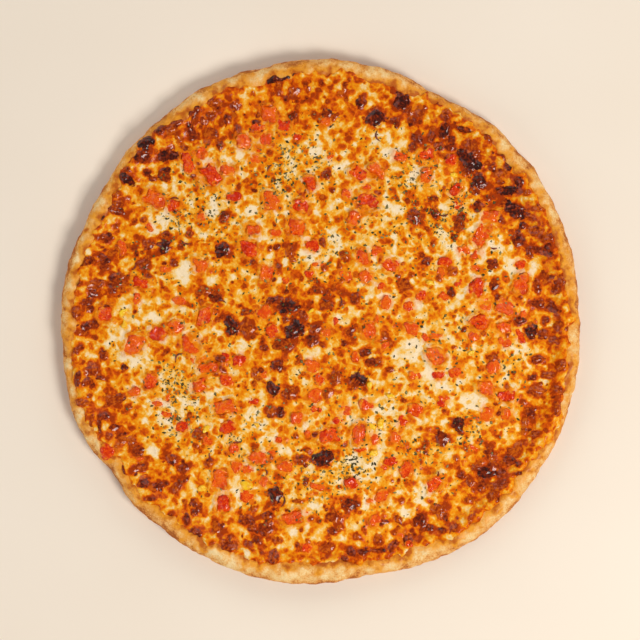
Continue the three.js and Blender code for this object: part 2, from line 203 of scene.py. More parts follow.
# Patches where it browned most, apart from the ring at the rim: x, y and size.
BROWN_PATCHES = (
    (-40, 3, 16), (-8, 6, 18), (6, 20, 14), (-62, 40, 12), (-105, 42, 14), (-72, 16, 9),
    (-60, 130, 12), (-14, 138, 16), (20, 135, 14), (75, 120, 16), (112, 80, 14), (62, 68, 12),
    (-25, -38, 10), (10, -120, 12), (62, -80, 12), (105, -95, 16), (-100, -95, 14), (-125, -60, 12),
)

# More blisters that stand out in the picture: x, y, half length, half width and turn in degrees.
SEEN_BLISTERS = (
    (-130, 25, 7, 4.4, 65), (-101, 122, 4, 3, 0), (-94, 120, 4, 3, 0), (-113, 104, 5, 3.5, 0),
    (-92, 126, 3.5, 3, 0), (-89, 127, 2.5, 2.5, 0), (-84, 132, 5, 2, -10), (-78, 134, 3, 2, 90),
    (-80, 128, 2, 2, 0), (-74, 127, 2, 1.8, 0), (-70, 130, 3, 2.5, 0), (-60, 128, 3, 2.5, 0),
    (-67, 137, 5, 3, -20), (-55, 136, 3, 2.5, 0), (-70, 120, 3.5, 3.5, 0), (-64, 112, 2.5, 2.5, 0),
    (-82, 120, 6, 2.5, 110), (-100, 93, 4, 4, 0), (-110, 94, 2.5, 2.5, 0), (-107, 90, 2.2, 2, 0),
    (-122, 96, 2, 1.2, -35), (-137, 76, 4, 2, -40), (-133, 71, 4, 1.8, -50),
    (-128, 74, 3.5, 2.5, 0), (-128, 69, 3.5, 2, 0), (-144, 60, 1.6, 1.6, 0), (-136, 53, 4, 2.5, 0),
    (-98, 55, 2.5, 2, 0), (-61, 67, 2.5, 2.5, 0), (-84, 55, 2.3, 2, 0), (-147, 38, 5, 2.5, 25),
    (-138, 35, 4, 2.5, -40), (-109, 48, 3.5, 3, 0), (-113, 36, 3.5, 3.5, 0), (-93, 37, 2.5, 2.5, 0),
    (-74, 19, 3.5, 3, 0), (-66, 15, 3.5, 3, 0), (-155, 5, 4, 3.5, 0), (-144, 23, 4, 3, 0),
    (-139, 24, 2, 2, 0), (-153, 24, 2, 1.5, 0), (-148, 12, 3, 2.5, 0), (-145, -2, 4, 2.5, 0),
    (-154, -18, 4, 1.5, 40), (-138, -21, 3.5, 2.5, 90), (-145, -31, 4, 3.5, 0),
    (-140, -36, 3.5, 1.2, -20), (-153, -36, 6, 1.6, 80), (-150, -51, 4, 2, -10),
    (-133, -50, 4.5, 3, -30), (-125, -29, 2, 2, 0), (-27, 13, 3, 2.5, 0), (-32, 13, 2.5, 2.5, 0),
    (-20, 44, 3.5, 3, 0), (-18, 39, 2, 2, 0), (-2, 20, 4, 2, -30), (4, 10, 3.5, 2, 0),
    (22, 15, 3.5, 3.5, 0), (-11, 4, 3, 2, 120), (-22, 1, 2.3, 2, 0), (-5, -12, 4, 3.2, 0),
    (-47, -5, 5, 4, 0), (-36, -17, 2.6, 2, 0), (-28, -28, 4, 3.2, -30), (-42, -33, 2.8, 2, 90),
    (-20, -46, 5, 3, 0), (9, -35, 4.5, 3, 90), (4, -46, 4, 2.5, 90), (33, -26, 3.5, 3, 0),
    (28, -20, 4, 2.5, 0), (-24, -15, 6, 4, 0), (15, 42, 3, 3, 0), (1, 50, 3.5, 2, 110),
    (53, 23, 4, 3.5, 0), (18, -7, 3, 3, 0), (109, 36, 3.6, 3.2, 0), (110, 23, 3, 2.5, 0),
    (67, 38, 2.5, 2.5, 0), (83, 32, 3, 3, 0), (142, 29, 4, 2.5, -35), (137, 24, 3.5, 2, 100),
    (149, 20, 3, 3, 0), (154, 25, 5.5, 2, -40), (138, 11, 3.5, 3, 0), (147, 8, 5, 2.5, -30),
    (140, -8, 4, 3, 0), (147, -12, 3, 2, 0), (150, -3, 4, 2.5, 90), (141, 44, 6, 2.5, -25),
    (132, 44, 4, 2, 100), (125, 51, 4, 3.5, 0), (138, -24, 5, 2.5, 0), (152, -28, 3, 2.5, 0),
    (144, -34, 4, 2, 0), (134, -36, 3, 2, 0), (136, -44, 6, 3, 0), (150, -43, 4, 2, -25),
    (-155, -55, 2.4, 1.6, 90), (-145, -64, 7, 1.2, 80), (-140, -64, 7, 1.2, 95),
    (-131, -67, 2.6, 2.2, 0), (-127, -74, 2.5, 2, 0), (-120, -76, 4, 2.5, 90),
    (-116, -82, 4, 3.5, 0), (-115, -93, 4, 2.7, 0), (-95, -87, 4, 2.8, -40),
    (-112, -102, 3.2, 2.8, 0), (-106, -104, 2.5, 2.2, 0), (-90, -104, 4, 2, 70),
    (-87, -93, 3.5, 2.5, 0), (-71, -90, 3, 2.2, 0), (-108, -112, 3, 1.2, 0),
    (-81, -115, 2.5, 2.5, 0), (-96, -124, 3, 1.5, 60), (-101, -124, 2, 1.5, 0),
    (-85, -125, 4, 2, 100), (-80, -121, 2.5, 1.8, 0), (-80, -133, 4, 3.3, 0),
    (-66, -131, 4, 3.3, 0), (-58, -142, 6, 3, 0), (-134, -94, 4, 1.3, 0), (-125, -94, 4, 1.2, 100),
    (-31, -57, 3.5, 3.5, 0), (-26, -58, 3, 3, 0), (-13, -88, 5, 2.5, -50), (-15, -114, 3.2, 1.5, 0),
    (19, -116, 4, 3.5, 0), (7, -124, 3.5, 3.5, 0), (-46, -126, 3.5, 3, 0), (-43, -119, 2.5, 2, 0),
    (-34, -123, 3.5, 2.5, 0), (-44, -131, 2.5, 2.5, 0), (-35, -133, 4, 3.5, 0),
    (-41, -138, 2.8, 2.5, 0), (-46, -141, 2.4, 2, 0), (-27, -139, 2.2, 2, 0),
    (-30, -149, 4.5, 2.8, 90), (3, -144, 3.5, 3, 0), (19, -146, 3, 2.5, 0), (15, -151, 2.5, 2, 0),
    (7, -133, 3, 2.5, 0), (26, -146, 3, 2, 0), (36, -145, 6, 1.3, 0), (45, -142, 2.8, 2, 0),
    (36, -138, 3, 2.5, 0), (49, -126, 3.5, 2.5, -40), (76, -74, 5, 4, 90), (129, -67, 6, 1.8, 80),
    (133, -58, 3.5, 3.5, 0), (149, -55, 4, 2, 90), (107, -84, 5, 3, 100), (119, -88, 4, 3.5, 0),
    (124, -81, 5, 3, 50), (114, -96, 3.2, 3, 0), (99, -93, 3, 2, 0), (89, -98, 2.5, 2.2, 0),
    (102, -104, 3.5, 2.8, 60), (109, -106, 3.2, 2.2, 80), (74, -119, 4.5, 4, 0),
    (79, -124, 2.5, 1.5, 90), (69, -131, 2.5, 2, 0), (77, -132, 2.5, 1.5, 0),
    (84, -131, 2.8, 2.5, 0), (125, -96, 1.8, 1.8, 0), (98, 83, 3, 3, 0), (70, 117, 2.5, 2.5, 0),
    (61, 116, 4, 2.5, -30), (83, 115, 2.5, 2, -40), (82, 110, 2.5, 2, 0), (75, 110, 3.5, 1.5, 0),
    (58, 127, 3, 3, 0), (63, 133, 3, 3.5, 0), (76, 141, 2.5, 3.5, 0), (79, 130, 1.5, 4, 0),
    (91, 121, 5, 1.8, -15), (107, 117, 3.5, 3, 0), (94, 112, 2.4, 4, 0), (98, 106, 2, 3, 0),
    (116, 105, 2.2, 3, 0), (118, 99, 2, 4, 0), (108, 97, 2.5, 2, 0), (114, 94, 4, 2.5, 0),
    (125, 88, 3.5, 2.5, -50), (114, 88, 3, 1.5, 0), (130, 81, 1.8, 1.5, 0), (116, 75, 3, 2.5, 0),
    (131, 67, 4, 2, -30), (138, 72, 3, 2.5, 0), (128, 61, 2.5, 2.5, 0), (135, 57, 4, 3.5, 0),
    (125, 55, 2.5, 4, 0), (100, 73, 2, 4, 0), (72, 78, 2.5, 2, 0), (59, 67, 4.5, 3.5, 0),
    (72, 69, 3, 3, 0), (88, 63, 3, 5, 0), (57, 150, 3, 2, -50), (70, 145, 6, 1.2, -20),
)

# How burnt and how proud those are. The solid's smaller blisters are as burnt.
SEEN_SEED = 41
SEEN_BURNT = (0.12, 0.6)
SEEN_PROUD = (0.8, 1.7)

# The smaller domes that make the blisters' outlines lumpy: how many each has, how far out they
# stand and how large and proud they are, all as shares of the blister's own sizes.
DOME_SEED = 29
DOMES_EACH = 3
DOME_OUT = (0.5, 0.95)
DOME_HALF = (0.35, 0.65)
DOME_PROUD = (0.5, 1.1)
DOME_BURNT = 0.35

# How browned the cheese is from its middle to its edge, and how patches and noise change that.
TOAST_SHARES = (0, 0.12, 0.22, 0.5, 0.76, 0.84, 0.93, 0.97, 1)
TOAST_LEVELS = (0.61, 0.58, 0.52, 0.49, 0.51, 0.57, 0.58, 0.6, 0.62)
CREAM_DEPTH = 0.29
BROWN_DEPTH = 0.14
TOAST_WARP = 5
TOAST_WARP_SIZE = 12
TOAST_UNEVEN = 0.2
TOAST_UNEVEN_SIZE = 14

# The small blisters that only show from near: how many are tried, how far out, at what toast they
# come up, their half sizes, and how proud they are for their size.
SMALL_SEED = 7
SMALL_TRIES = 2800
SMALL_TO = 0.985
SMALL_TOAST = (0.36, 0.9)
SMALL_HALF = (0.8, 2.2)
SMALL_PROUD = 0.35

# How burnt the large and the small blisters are, from 0 to 1, how far around one the cheese is
# changed by it, in its half lengths, and how uneven its outline is.
CHAR_BURNT = 0.85
SMALL_BURNT = (0, 0.55)
BLISTER_REACH = 2.4
BLISTER_UNEVEN = 0.42
BLISTER_UNEVEN_SIZE = 4.5

# Lumps and ripples of the melted cheese, which fade out at its edge, and its ragged thin edge.
LUMP_SIZE = 11
LUMP_HEIGHT = 0.8
LUMP_TOAST = 0.12
RIPPLE_SIZE = 5
RIPPLE_HEIGHT = 0.5
RIPPLE_TOAST = 0.3
LUMPS_FADE = (0.93, 1)
RAGGED = 4.5
RAGGED_SIZE = 9
EDGE_SINK = 1.5
EDGE_SINK_FROM = 0.985

# The lip of cheese around a die, the hollow under it and the reach of its juice.
LIP_HEIGHT = 1.7
LIP_AWAY = -0.1
LIP_WIDTH = 2
LIP_UNEVEN = 1.2
LIP_UNEVEN_SIZE = 5
DIE_HOLLOW = 0.3
DIE_HOLLOW_EDGE = 1.6
STAIN_WIDTH = 2.2
STAIN_REACH = 9

# Cells across the sheet of cheese, and spans around the crust with the rings of each stretch.
CHEESE_CELLS = 296
CRUST_STEPS = 960
HUB_RADIUS = 8
UNDERSIDE_RINGS = 14
FOOT_RINGS = 12
CREST_RINGS = 18
SLOPE_RINGS = 26
BED_RINGS = 5

# Relief of the baked dough: bubbles, lumps and a fine skin, each a size and a height. It fades out
# towards the flat underside and under the cheese.
DOUGH_RELIEF = ((16, 1.3), (6, 0.7), (2.2, 0.25))
FOOT_FADE = (0.4, 3)
BED_FADE = (-6, -2)

# The dice: cuts along each edge, rounds of smoothing, and two sizes of wrinkles with their heights.
# The golden angle spreads the pieces' turns and colours evenly.
DIE_CUTS = 5
DIE_ROUNDS = 1
DIE_WRINKLES = ((5.5, 2.4), (2, 0.5))
GOLDEN_ANGLE = 2.39996

# More small tomato bits than the solids have: x, y, half length, half width and turn in degrees.
EXTRA_BITS = (
    (-110, 61, 6, 2, -50), (-76, 66, 3.5, 3.5, 0), (-41, 110, 8, 3, 0), (-43, 103, 4.4, 3.8, 0),
    (-15, 117, 4, 3, 40), (6, 104, 2.5, 2, 0), (-29, 56, 5, 3, 0), (29, 85, 4, 2.5, 0),
    (16, 81, 5.5, 3.5, 90), (87, 74, 4.5, 3.5, 0), (114, 94, 4, 3, 0), (-117, 13, 5, 3, 90),
    (-80, -23, 5, 3.5, -50), (-99, 33, 4.5, 4, 0), (-62, -23, 4, 3.5, 0), (-96, -49, 4.5, 2.5, 0),
    (-105, -52, 4.5, 2, 0), (-21, 27, 4, 2.5, 30), (-1, 36, 5, 2, 0), (-7, 30, 3.5, 3, 0),
    (15, 29, 5, 4.8, 0), (36, 45, 4.5, 4, 0), (38, 22, 3, 3, 0), (4, -7, 4.5, 3, 20),
    (9, 0, 4, 2, 90), (35, 1, 5, 2.5, 60), (39, -16, 5, 2, 25), (-1, -36, 5, 3.5, 90),
    (-37, -34, 3, 3, 0), (-43, -51, 4, 2.5, 0), (90, 45, 5, 4, 0), (100, 43, 6, 3, 30),
    (126, 36, 4.5, 3.5, 0), (104, 11, 6, 5, 90), (126, -9, 7, 3, -65), (116, -13, 5, 4, 0),
    (96, -9, 5, 4, 0), (67, -11, 4, 2, -45), (74, -9, 5, 2.5, 0), (75, -34, 5, 3.5, 0),
    (59, -34, 5, 3.5, 0), (77, 16, 4.5, 3, 0), (63, 16, 4, 4, 0), (76, 30, 5, 3, 90),
    (88, 25, 5, 2, 25), (98, 34, 4, 2, 0), (79, -49, 5, 2.5, 0), (56, 9, 4.5, 4.5, 0),
    (128, 4, 3.5, 2.5, 90), (-134, -82, 5.5, 5.5, 0), (-72, -76, 4, 3.5, 0),
    (-97, -59, 6, 1.8, -15), (-56, -81, 4, 4, 0), (-114, -87, 4, 1.5, 0), (11, -64, 5, 4, 0),
    (-8, -71, 4, 2.5, 90), (33, -75, 4, 4, 0), (25, -81, 5, 2.5, 0), (48, -74, 5, 4, 0),
    (52, -64, 5, 4, 90), (-46, -94, 6, 3, 0), (-32, -85, 4, 4, 0), (-46, -111, 6, 4.5, 0),
    (-37, -102, 4, 4, 0), (-26, -75, 3, 2.5, 0), (-1, -105, 6, 2.5, -20), (-12, -124, 5, 5, 0),
    (-8, -144, 4.5, 4, 0), (31, -114, 3, 2, 0), (44, -89, 6, 4, 0), (39, -93, 3, 2.5, 0),
    (15, -56, 4, 3.5, 0), (-4, -56, 5, 3, 0), (51, -135, 4.5, 2.5, 0), (76, -52, 4, 3, 0),
    (118, -59, 4.5, 4.5, 0), (96, -80, 4, 1.8, -35), (56, -141, 3.5, 3, 0),
)
EXTRA_BIT_PROUD = 0.5
BIT_CORNER_SPREAD = 0.28
BIT_CUTS = 3
BIT_ROUNDS = 1
BIT_WRINKLES = ((4, 1.5), (1.6, 0.4))
BIT_SKIN_TURN = 9

# Golden bits among the tomatoes: x, y and half length.
GOLDEN_BITS = (
    (-47, -104, 5.5), (-73, -69, 3), (-83, -55, 3), (-74, -106, 3.6), (38, -65, 4), (32, -66, 3),
    (33, -84, 3.5), (-21, -98, 2.5), (-41, -66, 3), (-125, 6, 4), (-125, -1, 3), (44, -47, 3.4),
    (-6, 6, 2.6), (31, -41, 2.8), (70, 24, 3), (96, -20, 2.8), (56, 98, 3.2), (84, 93, 3),
)
GOLDEN_SLIM = 0.6
GOLDEN_TURN = 1.1

# Thin dark curls of tomato skin: how many, their sizes and how far they bend. A rod's edges that
# are longer than CURL_UPRIGHT run along it.
CURLS = 18
CURL_SEED = 23
CURLS_TO = 0.82
CURL_HALF = (1.8, 3.8)
CURL_THICK = 0.6
CURL_POINT = 0.95
CURL_UPRIGHT = 1.9
CURL_BEND = (0.2, 0.55)
CURL_SIDES = 5
CURL_CUTS = 7

# More flakes of dried herb than the solids have: a sprinkling all over and clusters, each an x, a
# y, a size and a count. A flake on a die lies a little under the die's top.
HERB_SEED = 5
HERB_SPREAD = 1500
HERB_TO = 0.86
HERB_CLUSTERS = (
    (-28, 92, 7, 70), (-20, 108, 6, 50), (-3, 102, 7, 60), (52, 90, 8, 70), (62, 96, 6, 50),
    (-75, 75, 9, 60), (-90, 62, 7, 50), (-97, -38, 6, 70), (-88, -48, 6, 60), (-97, -62, 5, 40),
    (-85, -68, 6, 50), (-10, -104, 7, 50), (18, -98, 7, 120), (64, -86, 7, 60), (94, -72, 6, 50),
    (118, -26, 6, 50), (14, -88, 8, 60), (-52, -74, 8, 60), (-22, 80, 10, 60), (80, 60, 9, 70),
    (88, 77, 7, 50), (-2, 40, 10, 50), (80, -10, 12, 60), (36, -64, 10, 60), (-30, -92, 9, 50),
    (64, 66, 9, 70), (30, 60, 10, 50), (-60, 62, 9, 50),
)
HERB_LENGTH = (0.8, 3)
HERB_SMALLER = 1.8
HERB_SLIM = (0.35, 0.75)
HERB_THICK = 0.3
HERB_RISE = 0.15
HERB_TILT = 0.35
HERB_RAGGED = 0.08
DIE_FLAT_SHARE = 0.75
DIE_CROWN_DROP = 0.5

# The picture: its width, and where the pizza's middle and rim are in it, in pixels.
PICTURE_PIXELS = 640
PIZZA_MIDDLE_PIXELS = (321, 321.3)
PIZZA_RADIUS_PIXELS = 260.5
LENS = 85
SENSOR = 36

# The studio, in metres and watts.
FLOOR_HALF = 3.0
FLOOR_BELOW = 0.0001
KEY_PLACE = (0.75, -0.65, 1.25)
KEY_SIZE = 0.5
KEY_ENERGY = 18.3
KEY_COLOUR = (1, 0.97, 0.93)
FILL_PLACES = ((-1.3, -0.7, 0.8), (-0.8, 1.2, 0.8), (1, 1.1, 0.8))
FILL_SIZE = 1.2
FILL_ENERGY = 8
SKY = 0.1
SKY_COLOUR = (1, 0.98, 0.96)

# Sockets of the node that mixes colours.
MIX_SHARE = 0
MIX_UNDER = 6
MIX_OVER = 7
MIX_COLOUR = 2

# The cheese's colours from the palest melted cheese to the deepest brown, by how toasted it is, and
# the blisters' own. The cheese starts paler, because its blobs and the blisters' halos darken it.
CHEESE_TINTS = (
    (0.06, (250, 226, 186)),
    (0.22, (246, 206, 132)),
    (0.33, (246, 182, 64)),
    (0.46, (242, 152, 14)),
    (0.62, (230, 116, 6)),
    (0.78, (208, 80, 6)),
    (0.95, (164, 56, 6)),
)
TOAST_PALER = -0.17
BURNT_TINTS = (
    (0.0, (200, 92, 8)),
    (0.25, (168, 62, 6)),
    (0.5, (136, 44, 8)),
    (0.75, (98, 30, 12)),
    (1.0, (54, 22, 18)),
)

# The crust's colours, and where it is browner: from a height down to a lower one, and from an inset
# out to its edge.
CRUST_TINTS = (
    (0.1, (250, 218, 160)),
    (0.4, (244, 194, 120)),
    (0.65, (230, 156, 78)),
    (0.9, (180, 100, 44)),
)
LOW_SIDE_FADE = (12, 4)
OUTER_SIDE_FADE = (6, 0)

# The other pieces' colours.
TOMATO_TINTS = (
    (0.0, (204, 36, 0)),
    (0.25, (226, 62, 0)),
    (0.5, (238, 86, 4)),
    (0.75, (242, 118, 14)),
    (1.0, (230, 76, 8)),
)
GOLDEN_TINTS = (
    (0.1, (252, 214, 50)),
    (0.5, (250, 194, 14)),
    (0.9, (240, 160, 6)),
)
CURL_TINTS = (
    (0.15, (70, 24, 14)),
    (0.5, (120, 38, 14)),
    (0.9, (176, 62, 16)),
)
HERB_TINTS = (
    (0.0, (60, 50, 26)),
    (0.4, (92, 82, 44)),
    (0.75, (124, 114, 68)),
    (1.0, (160, 150, 98)),
)
FLOOR_TINTS = (
    (0.0, (240, 226, 208)),
    (1.0, (246, 234, 218)),
)


def clamp(value):
    return np.clip(value, 0, 1)


def smoothstep(low, high, value):
    t = clamp((value - low) / (high - low))
    return t * t * (3 - 2 * t)


def blend(low, high, share):
    return low + (high - low) * share


def melted_max(a, b, span):
    """The larger of two heights, with the corner between them rounded over the given span."""
    return (a + b + np.hypot(a - b, span)) / 2


def swell(rows, angle):
    """The sum of a list's swells at each angle in radians."""
    at, wide, out = np.array(rows, float).T
    turn = np.degrees(np.asarray(angle, float))[..., None] - at
    away = (turn + 180) % 360 - 180
    return (out * np.exp(-((away / wide) ** 2))).sum(-1)


def outline_middle():
    """How far the middle of the plain outline's box lies from its centre."""
    angle = np.arange(CRUST_SPANS) * 2 * math.pi / CRUST_SPANS
    radius = CRUST_RADIUS + swell(OUTLINE_SWELLS, angle)
    x, y = radius * np.cos(angle), radius * np.sin(angle)
    return (x.min() + x.max()) / 2, (y.min() + y.max()) / 2


MIDDLE_X, MIDDLE_Y = outline_middle()


def rim_radius(angle):
    shift = MIDDLE_X * np.cos(angle) + MIDDLE_Y * np.sin(angle)
    return CRUST_RADIUS + swell(OUTLINE_SWELLS, angle) - shift


def rim_lifted(z, angle):
    """A height on the plain crust, drawn up or down as the rim's crest is at that angle."""
    return np.where(z > FLOOR_Z, FLOOR_Z + (z - FLOOR_Z) * (1 + swell(CREST_SWELLS, angle)), z)


def crest_height(inset):
    """The dough's upper side from its outer edge to the crest."""
    away = 1 - clamp(inset / CREST_INSET)
    return blend(BELLY_Z, CREST_Z, np.sqrt(1 - away**2))


def slope_height(inset):
    return blend(CREST_Z, FLOOR_Z, smoothstep(CREST_INSET, FLOOR_INSET, inset))


def dough_top(x, y):
    angle = np.arctan2(y, x)
    inset = (1 - np.hypot(x, y) / rim_radius(angle)) * CRUST_RADIUS
    top = np.where(inset < CREST_INSET, crest_height(inset), slope_height(inset))
    return rim_lifted(top, angle)


def cheese_radius(angle):
    """The cheese's ragged outer edge."""
    ragged = sum(out * np.sin(around * angle + start) for out, around, start in EDGE_RIPPLES)
    return rim_radius(angle) - BARE_CRUST - swell(BARE_SWELLS, angle) + ragged


def wave(sizes, along):
    length, start = sizes
    return 2 * math.pi * along / length + start


def cheese_top(x, y):
    """The upper side of the cheese, without its blisters."""
    share = np.hypot(x, y) / cheese_radius(np.arctan2(y, x))
    level = melted_max(CHEESE_Z, dough_top(x, y) + CHEESE_ON_RIM, CHEESE_MELT)
    square = CHEESE_WAVE * np.sin(wave(WAVE_X, x)) * np.cos(wave(WAVE_Y, y))
    slanted = SLANT_WAVE * np.sin(wave(WAVE_SLANT, x + y))
    return level + square + slanted - EDGE_DROP * smoothstep(EDGE_DROP_FROM, 1, share)


def cell_numbers(cells, shift):
    """A repeatable whole number for each cell of a grid in space."""
    mixed = cells.astype(np.uint32) * np.array(HASH_FACTORS, np.uint32)
    number = mixed[:, 0] ^ mixed[:, 1] ^ mixed[:, 2] ^ np.uint32(shift * HASH_SHIFT)
    first_fold, last_fold = (np.uint32(fold) for fold in HASH_FOLDS)
    number = (number ^ (number >> first_fold)) * np.uint32(HASH_STIR)
    return number ^ (number >> last_fold)


def gradient_noise(points, shift):
    """Smooth noise with features about one unit across, mostly between -1 and 1."""
    cells = np.floor(points).astype(np.int64)
    inside = points - cells
    eased = inside**3 * (inside * (inside * 6 - 15) + 10)
    total = np.zeros(len(points))
    for corner in np.ndindex(2, 2, 2):
        number = cell_numbers(cells + corner, shift)
        parts = [number >> np.uint32(place) & np.uint32(BYTE) for place in BYTE_PLACES]
        slopes = np.column_stack(parts) / (BYTE / 2) - 1
        share = np.where(corner, eased, 1 - eased).prod(axis=1)
        total += share * (slopes * (inside - corner)).sum(axis=1)
    return total * NOISE_GAIN


def fractal(points, size, shift, octaves=2):
    """Noise of about -1 to 1 at each point; its largest features are size millimetres across."""
    scaled = np.asarray(points, float) / size
    return sum(
        gradient_noise(scaled * 2**octave, shift + octave * OCTAVE_SHIFT) / 2**octave
        for octave in range(octaves)
    )


def relief_at(places, sizes, shift):
    """The sum of a few noises at each place, from pairs of a size and a height."""
    return sum(
        height * fractal(places, size, number)
        for number, (size, height) in enumerate(sizes, start=shift)
    )


def drawer(seed):
    """Repeatable draws from 0 to 1, the same as the solids' own."""
    state = seed
    while True:
        state = state * DRAW_FACTOR % DRAW_RANGE
        yield state / DRAW_RANGE


class Spot:
    """A blister, bit or flake on the cheese, seen from above."""

    def __init__(self, x, y, half_length, half_width, turn):
        self.x, self.y, self.turn = x, y, turn
        self.half_length, self.half_width = half_length, half_width


def solid_corners(node):
    """A node's corners in millimetres."""
    return np.array([v.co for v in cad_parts[node].data.vertices]) / MM


class Die:
    """One larger tomato die, as its solid lies: its middle, its reach and its outline."""

    def __init__(self, node):
        self.node = node
        low, high = (np.array(corner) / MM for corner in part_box(node))
        self.x, self.y = ((low + high) / 2)[:2]
        self.reach = sum((high - low)[:2]) / 4
        self.top = high[2]
        corners = solid_corners(node)
        base = corners[corners[:, 2] < low[2] + ONE_PLACE] - (self.x, self.y, 0)
        radius, angle = np.hypot(base[:, 0], base[:, 1]), np.arctan2(base[:, 1], base[:, 0])
        rim = radius > self.reach / 2
        order = np.argsort(angle[rim])
        self.angles, self.radii = angle[rim][order], radius[rim][order]

    def nearness(self, x, y):
        """Each point's distance from the middle, as a share of the outline's distance there."""
        away_x, away_y = x - self.x, y - self.y
        outline = np.interp(
            np.arctan2(away_y, away_x), self.angles, self.radii, period=2 * math.pi
        )
        return np.hypot(away_x, away_y) / outline


DICE = [Die(node) for node in sorted(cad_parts) if node.startswith("tomato_die")]


def draw_spots(count, seed, half, reach_from, reach_to):
    """Spots drawn as the solids' are: each is redrawn until it is clear of dice and other spots."""
    draw = drawer(seed).__next__
    spots = []
    while len(spots) < count:
        angle = 2 * math.pi * draw()
        share = math.sqrt(blend(reach_from**2, reach_to**2, draw()))
        radius = share * float(cheese_radius(angle))
        x, y = radius * math.cos(angle), radius * math.sin(angle)
        size = blend(*half, draw())
        turn = math.pi * draw()
        width = size * blend(*SPOT_SLIM, draw())
        clear_of_dice = all(
            math.hypot(x - die.x, y - die.y) > size * SPOT_CLEAR + die.reach for die in DICE
        )
        if clear_of_dice and all(
            math.hypot(x - other.x, y - other.y) > size + other.half_length for other in spots
        ):
            spots.append(Spot(x, y, size, width, turn))
    return spots


def flat_points(x, y):
    return np.column_stack([x, y, np.zeros_like(x)])


class Finder:
    """Finds which of many points lie near a place."""

    def __init__(self, x, y):
        self.y = y
        self.order = np.argsort(x)
        self.sorted_x = x[self.order]

    def near(self, at_x, at_y, reach):
        low, high = np.searchsorted(self.sorted_x, (at_x - reach, at_x + reach))
        found = self.order[low:high]
        return found[np.abs(self.y[found] - at_y) < reach]


def ragged_radius(angle):
    """The melted cheese's outer edge with its finest tongues and notches."""
    radius = cheese_radius(angle)
    edge = flat_points(radius * np.cos(angle), radius * np.sin(angle))
    return radius + RAGGED * fractal(edge, RAGGED_SIZE, EDGE_SHIFT, octaves=3)


def toast_at(x, y):
    """How brown the cheese is, from about 0 (cream) to 1 (burnt), before its blisters."""
    points = flat_points(x, y)
    share = np.hypot(x, y) / cheese_radius(np.arctan2(y, x))
    warped_x, warped_y = (
        place + TOAST_WARP * fractal(points, TOAST_WARP_SIZE, shift)
        for place, shift in zip((x, y), WARP_SHIFTS)
    )
    toast = np.interp(share, TOAST_SHARES, TOAST_LEVELS)
    cream = np.zeros_like(toast)
    brown = np.zeros_like(toast)
    for patches, mask in ((CREAM_PATCHES, cream), (BROWN_PATCHES, brown)):
        for patch_x, patch_y, size in patches:
            away = np.hypot(warped_x - patch_x, warped_y - patch_y) / size
            np.maximum(mask, np.exp(-(away**2)), out=mask)
    uneven = TOAST_UNEVEN * fractal(points, TOAST_UNEVEN_SIZE, TOAST_SHIFT)
    return toast - CREAM_DEPTH * cream + BROWN_DEPTH * brown + uneven


def draw_small_blisters():
    """The many small blisters, thickest on browned cheese, as rows like those of all_blisters()."""
    random = np.random.default_rng(SMALL_SEED)
    angle = random.uniform(0, 2 * math.pi, SMALL_TRIES)
    share = np.sqrt(random.uniform(0, SMALL_TO**2, SMALL_TRIES))
    radius = share * cheese_radius(angle)
    x, y = radius * np.cos(angle), radius * np.sin(angle)
    toast = toast_at(x, y)
    kept = random.uniform(0, 1, SMALL_TRIES) < smoothstep(*SMALL_TOAST, toast)
    half = blend(*SMALL_HALF, random.uniform(0, 1, SMALL_TRIES) ** 2)
    slim = random.uniform(*SPOT_SLIM, SMALL_TRIES)
    turn = random.uniform(0, math.pi, SMALL_TRIES)
    proud = SMALL_PROUD * half
    burnt = blend(*SMALL_BURNT, random.uniform(0, 1, SMALL_TRIES))
    rows = np.column_stack([x, y, half, half * slim, turn, proud, burnt])
    return rows[kept]


def domes_on(rows):
    """Smaller domes about the outlines of the larger blisters, as rows like all_blisters()."""
    random = np.random.default_rng(DOME_SEED)
    x, y, length, width, turn, proud, burnt = np.repeat(rows, DOMES_EACH, axis=0).T
    around = random.uniform(0, 2 * math.pi, len(x))
    out = random.uniform(*DOME_OUT, len(x))
    half = random.uniform(*DOME_HALF, len(x)) * width
    along, across = out * length * np.cos(around), out * width * np.sin(around)
    x = x + along * np.cos(turn) - across * np.sin(turn)
    y = y + along * np.sin(turn) + across * np.cos(turn)
    proud = proud * random.uniform(*DOME_PROUD, len(x))
    burnt = burnt + random.uniform(-DOME_BURNT, DOME_BURNT, len(x))
    return np.column_stack([x, y, half, half, turn, proud, burnt])


def all_blisters():
    """Every blister as a row: x, y, half length, half width, turn, how proud and how burnt."""
    random = np.random.default_rng(SEEN_SEED)
    ring = draw_spots(RING_BLISTERS, RING_SEED, BLISTER_HALF, RING_FROM, RING_TO)
    field = draw_spots(FIELD_BLISTERS, FIELD_SEED, BLISTER_HALF, 0, RING_FROM)
    chars = [(x, y, a, b, math.radians(turn), CHAR_PROUD, CHAR_BURNT) for x, y, a, b, turn in CHARS]
    drawn = [
        (s.x, s.y, s.half_length, s.half_width, s.turn, BLISTER_PROUD, random.uniform(*SEEN_BURNT))
        for s in ring + field
    ]
    seen = [
        (x, y, a, b, math.radians(turn), random.uniform(*SEEN_PROUD), random.uniform(*SEEN_BURNT))
        for x, y, a, b, turn in SEEN_BLISTERS
    ]
    large = np.vstack([chars, drawn, seen])
    return np.vstack([large, domes_on(large), draw_small_blisters()])


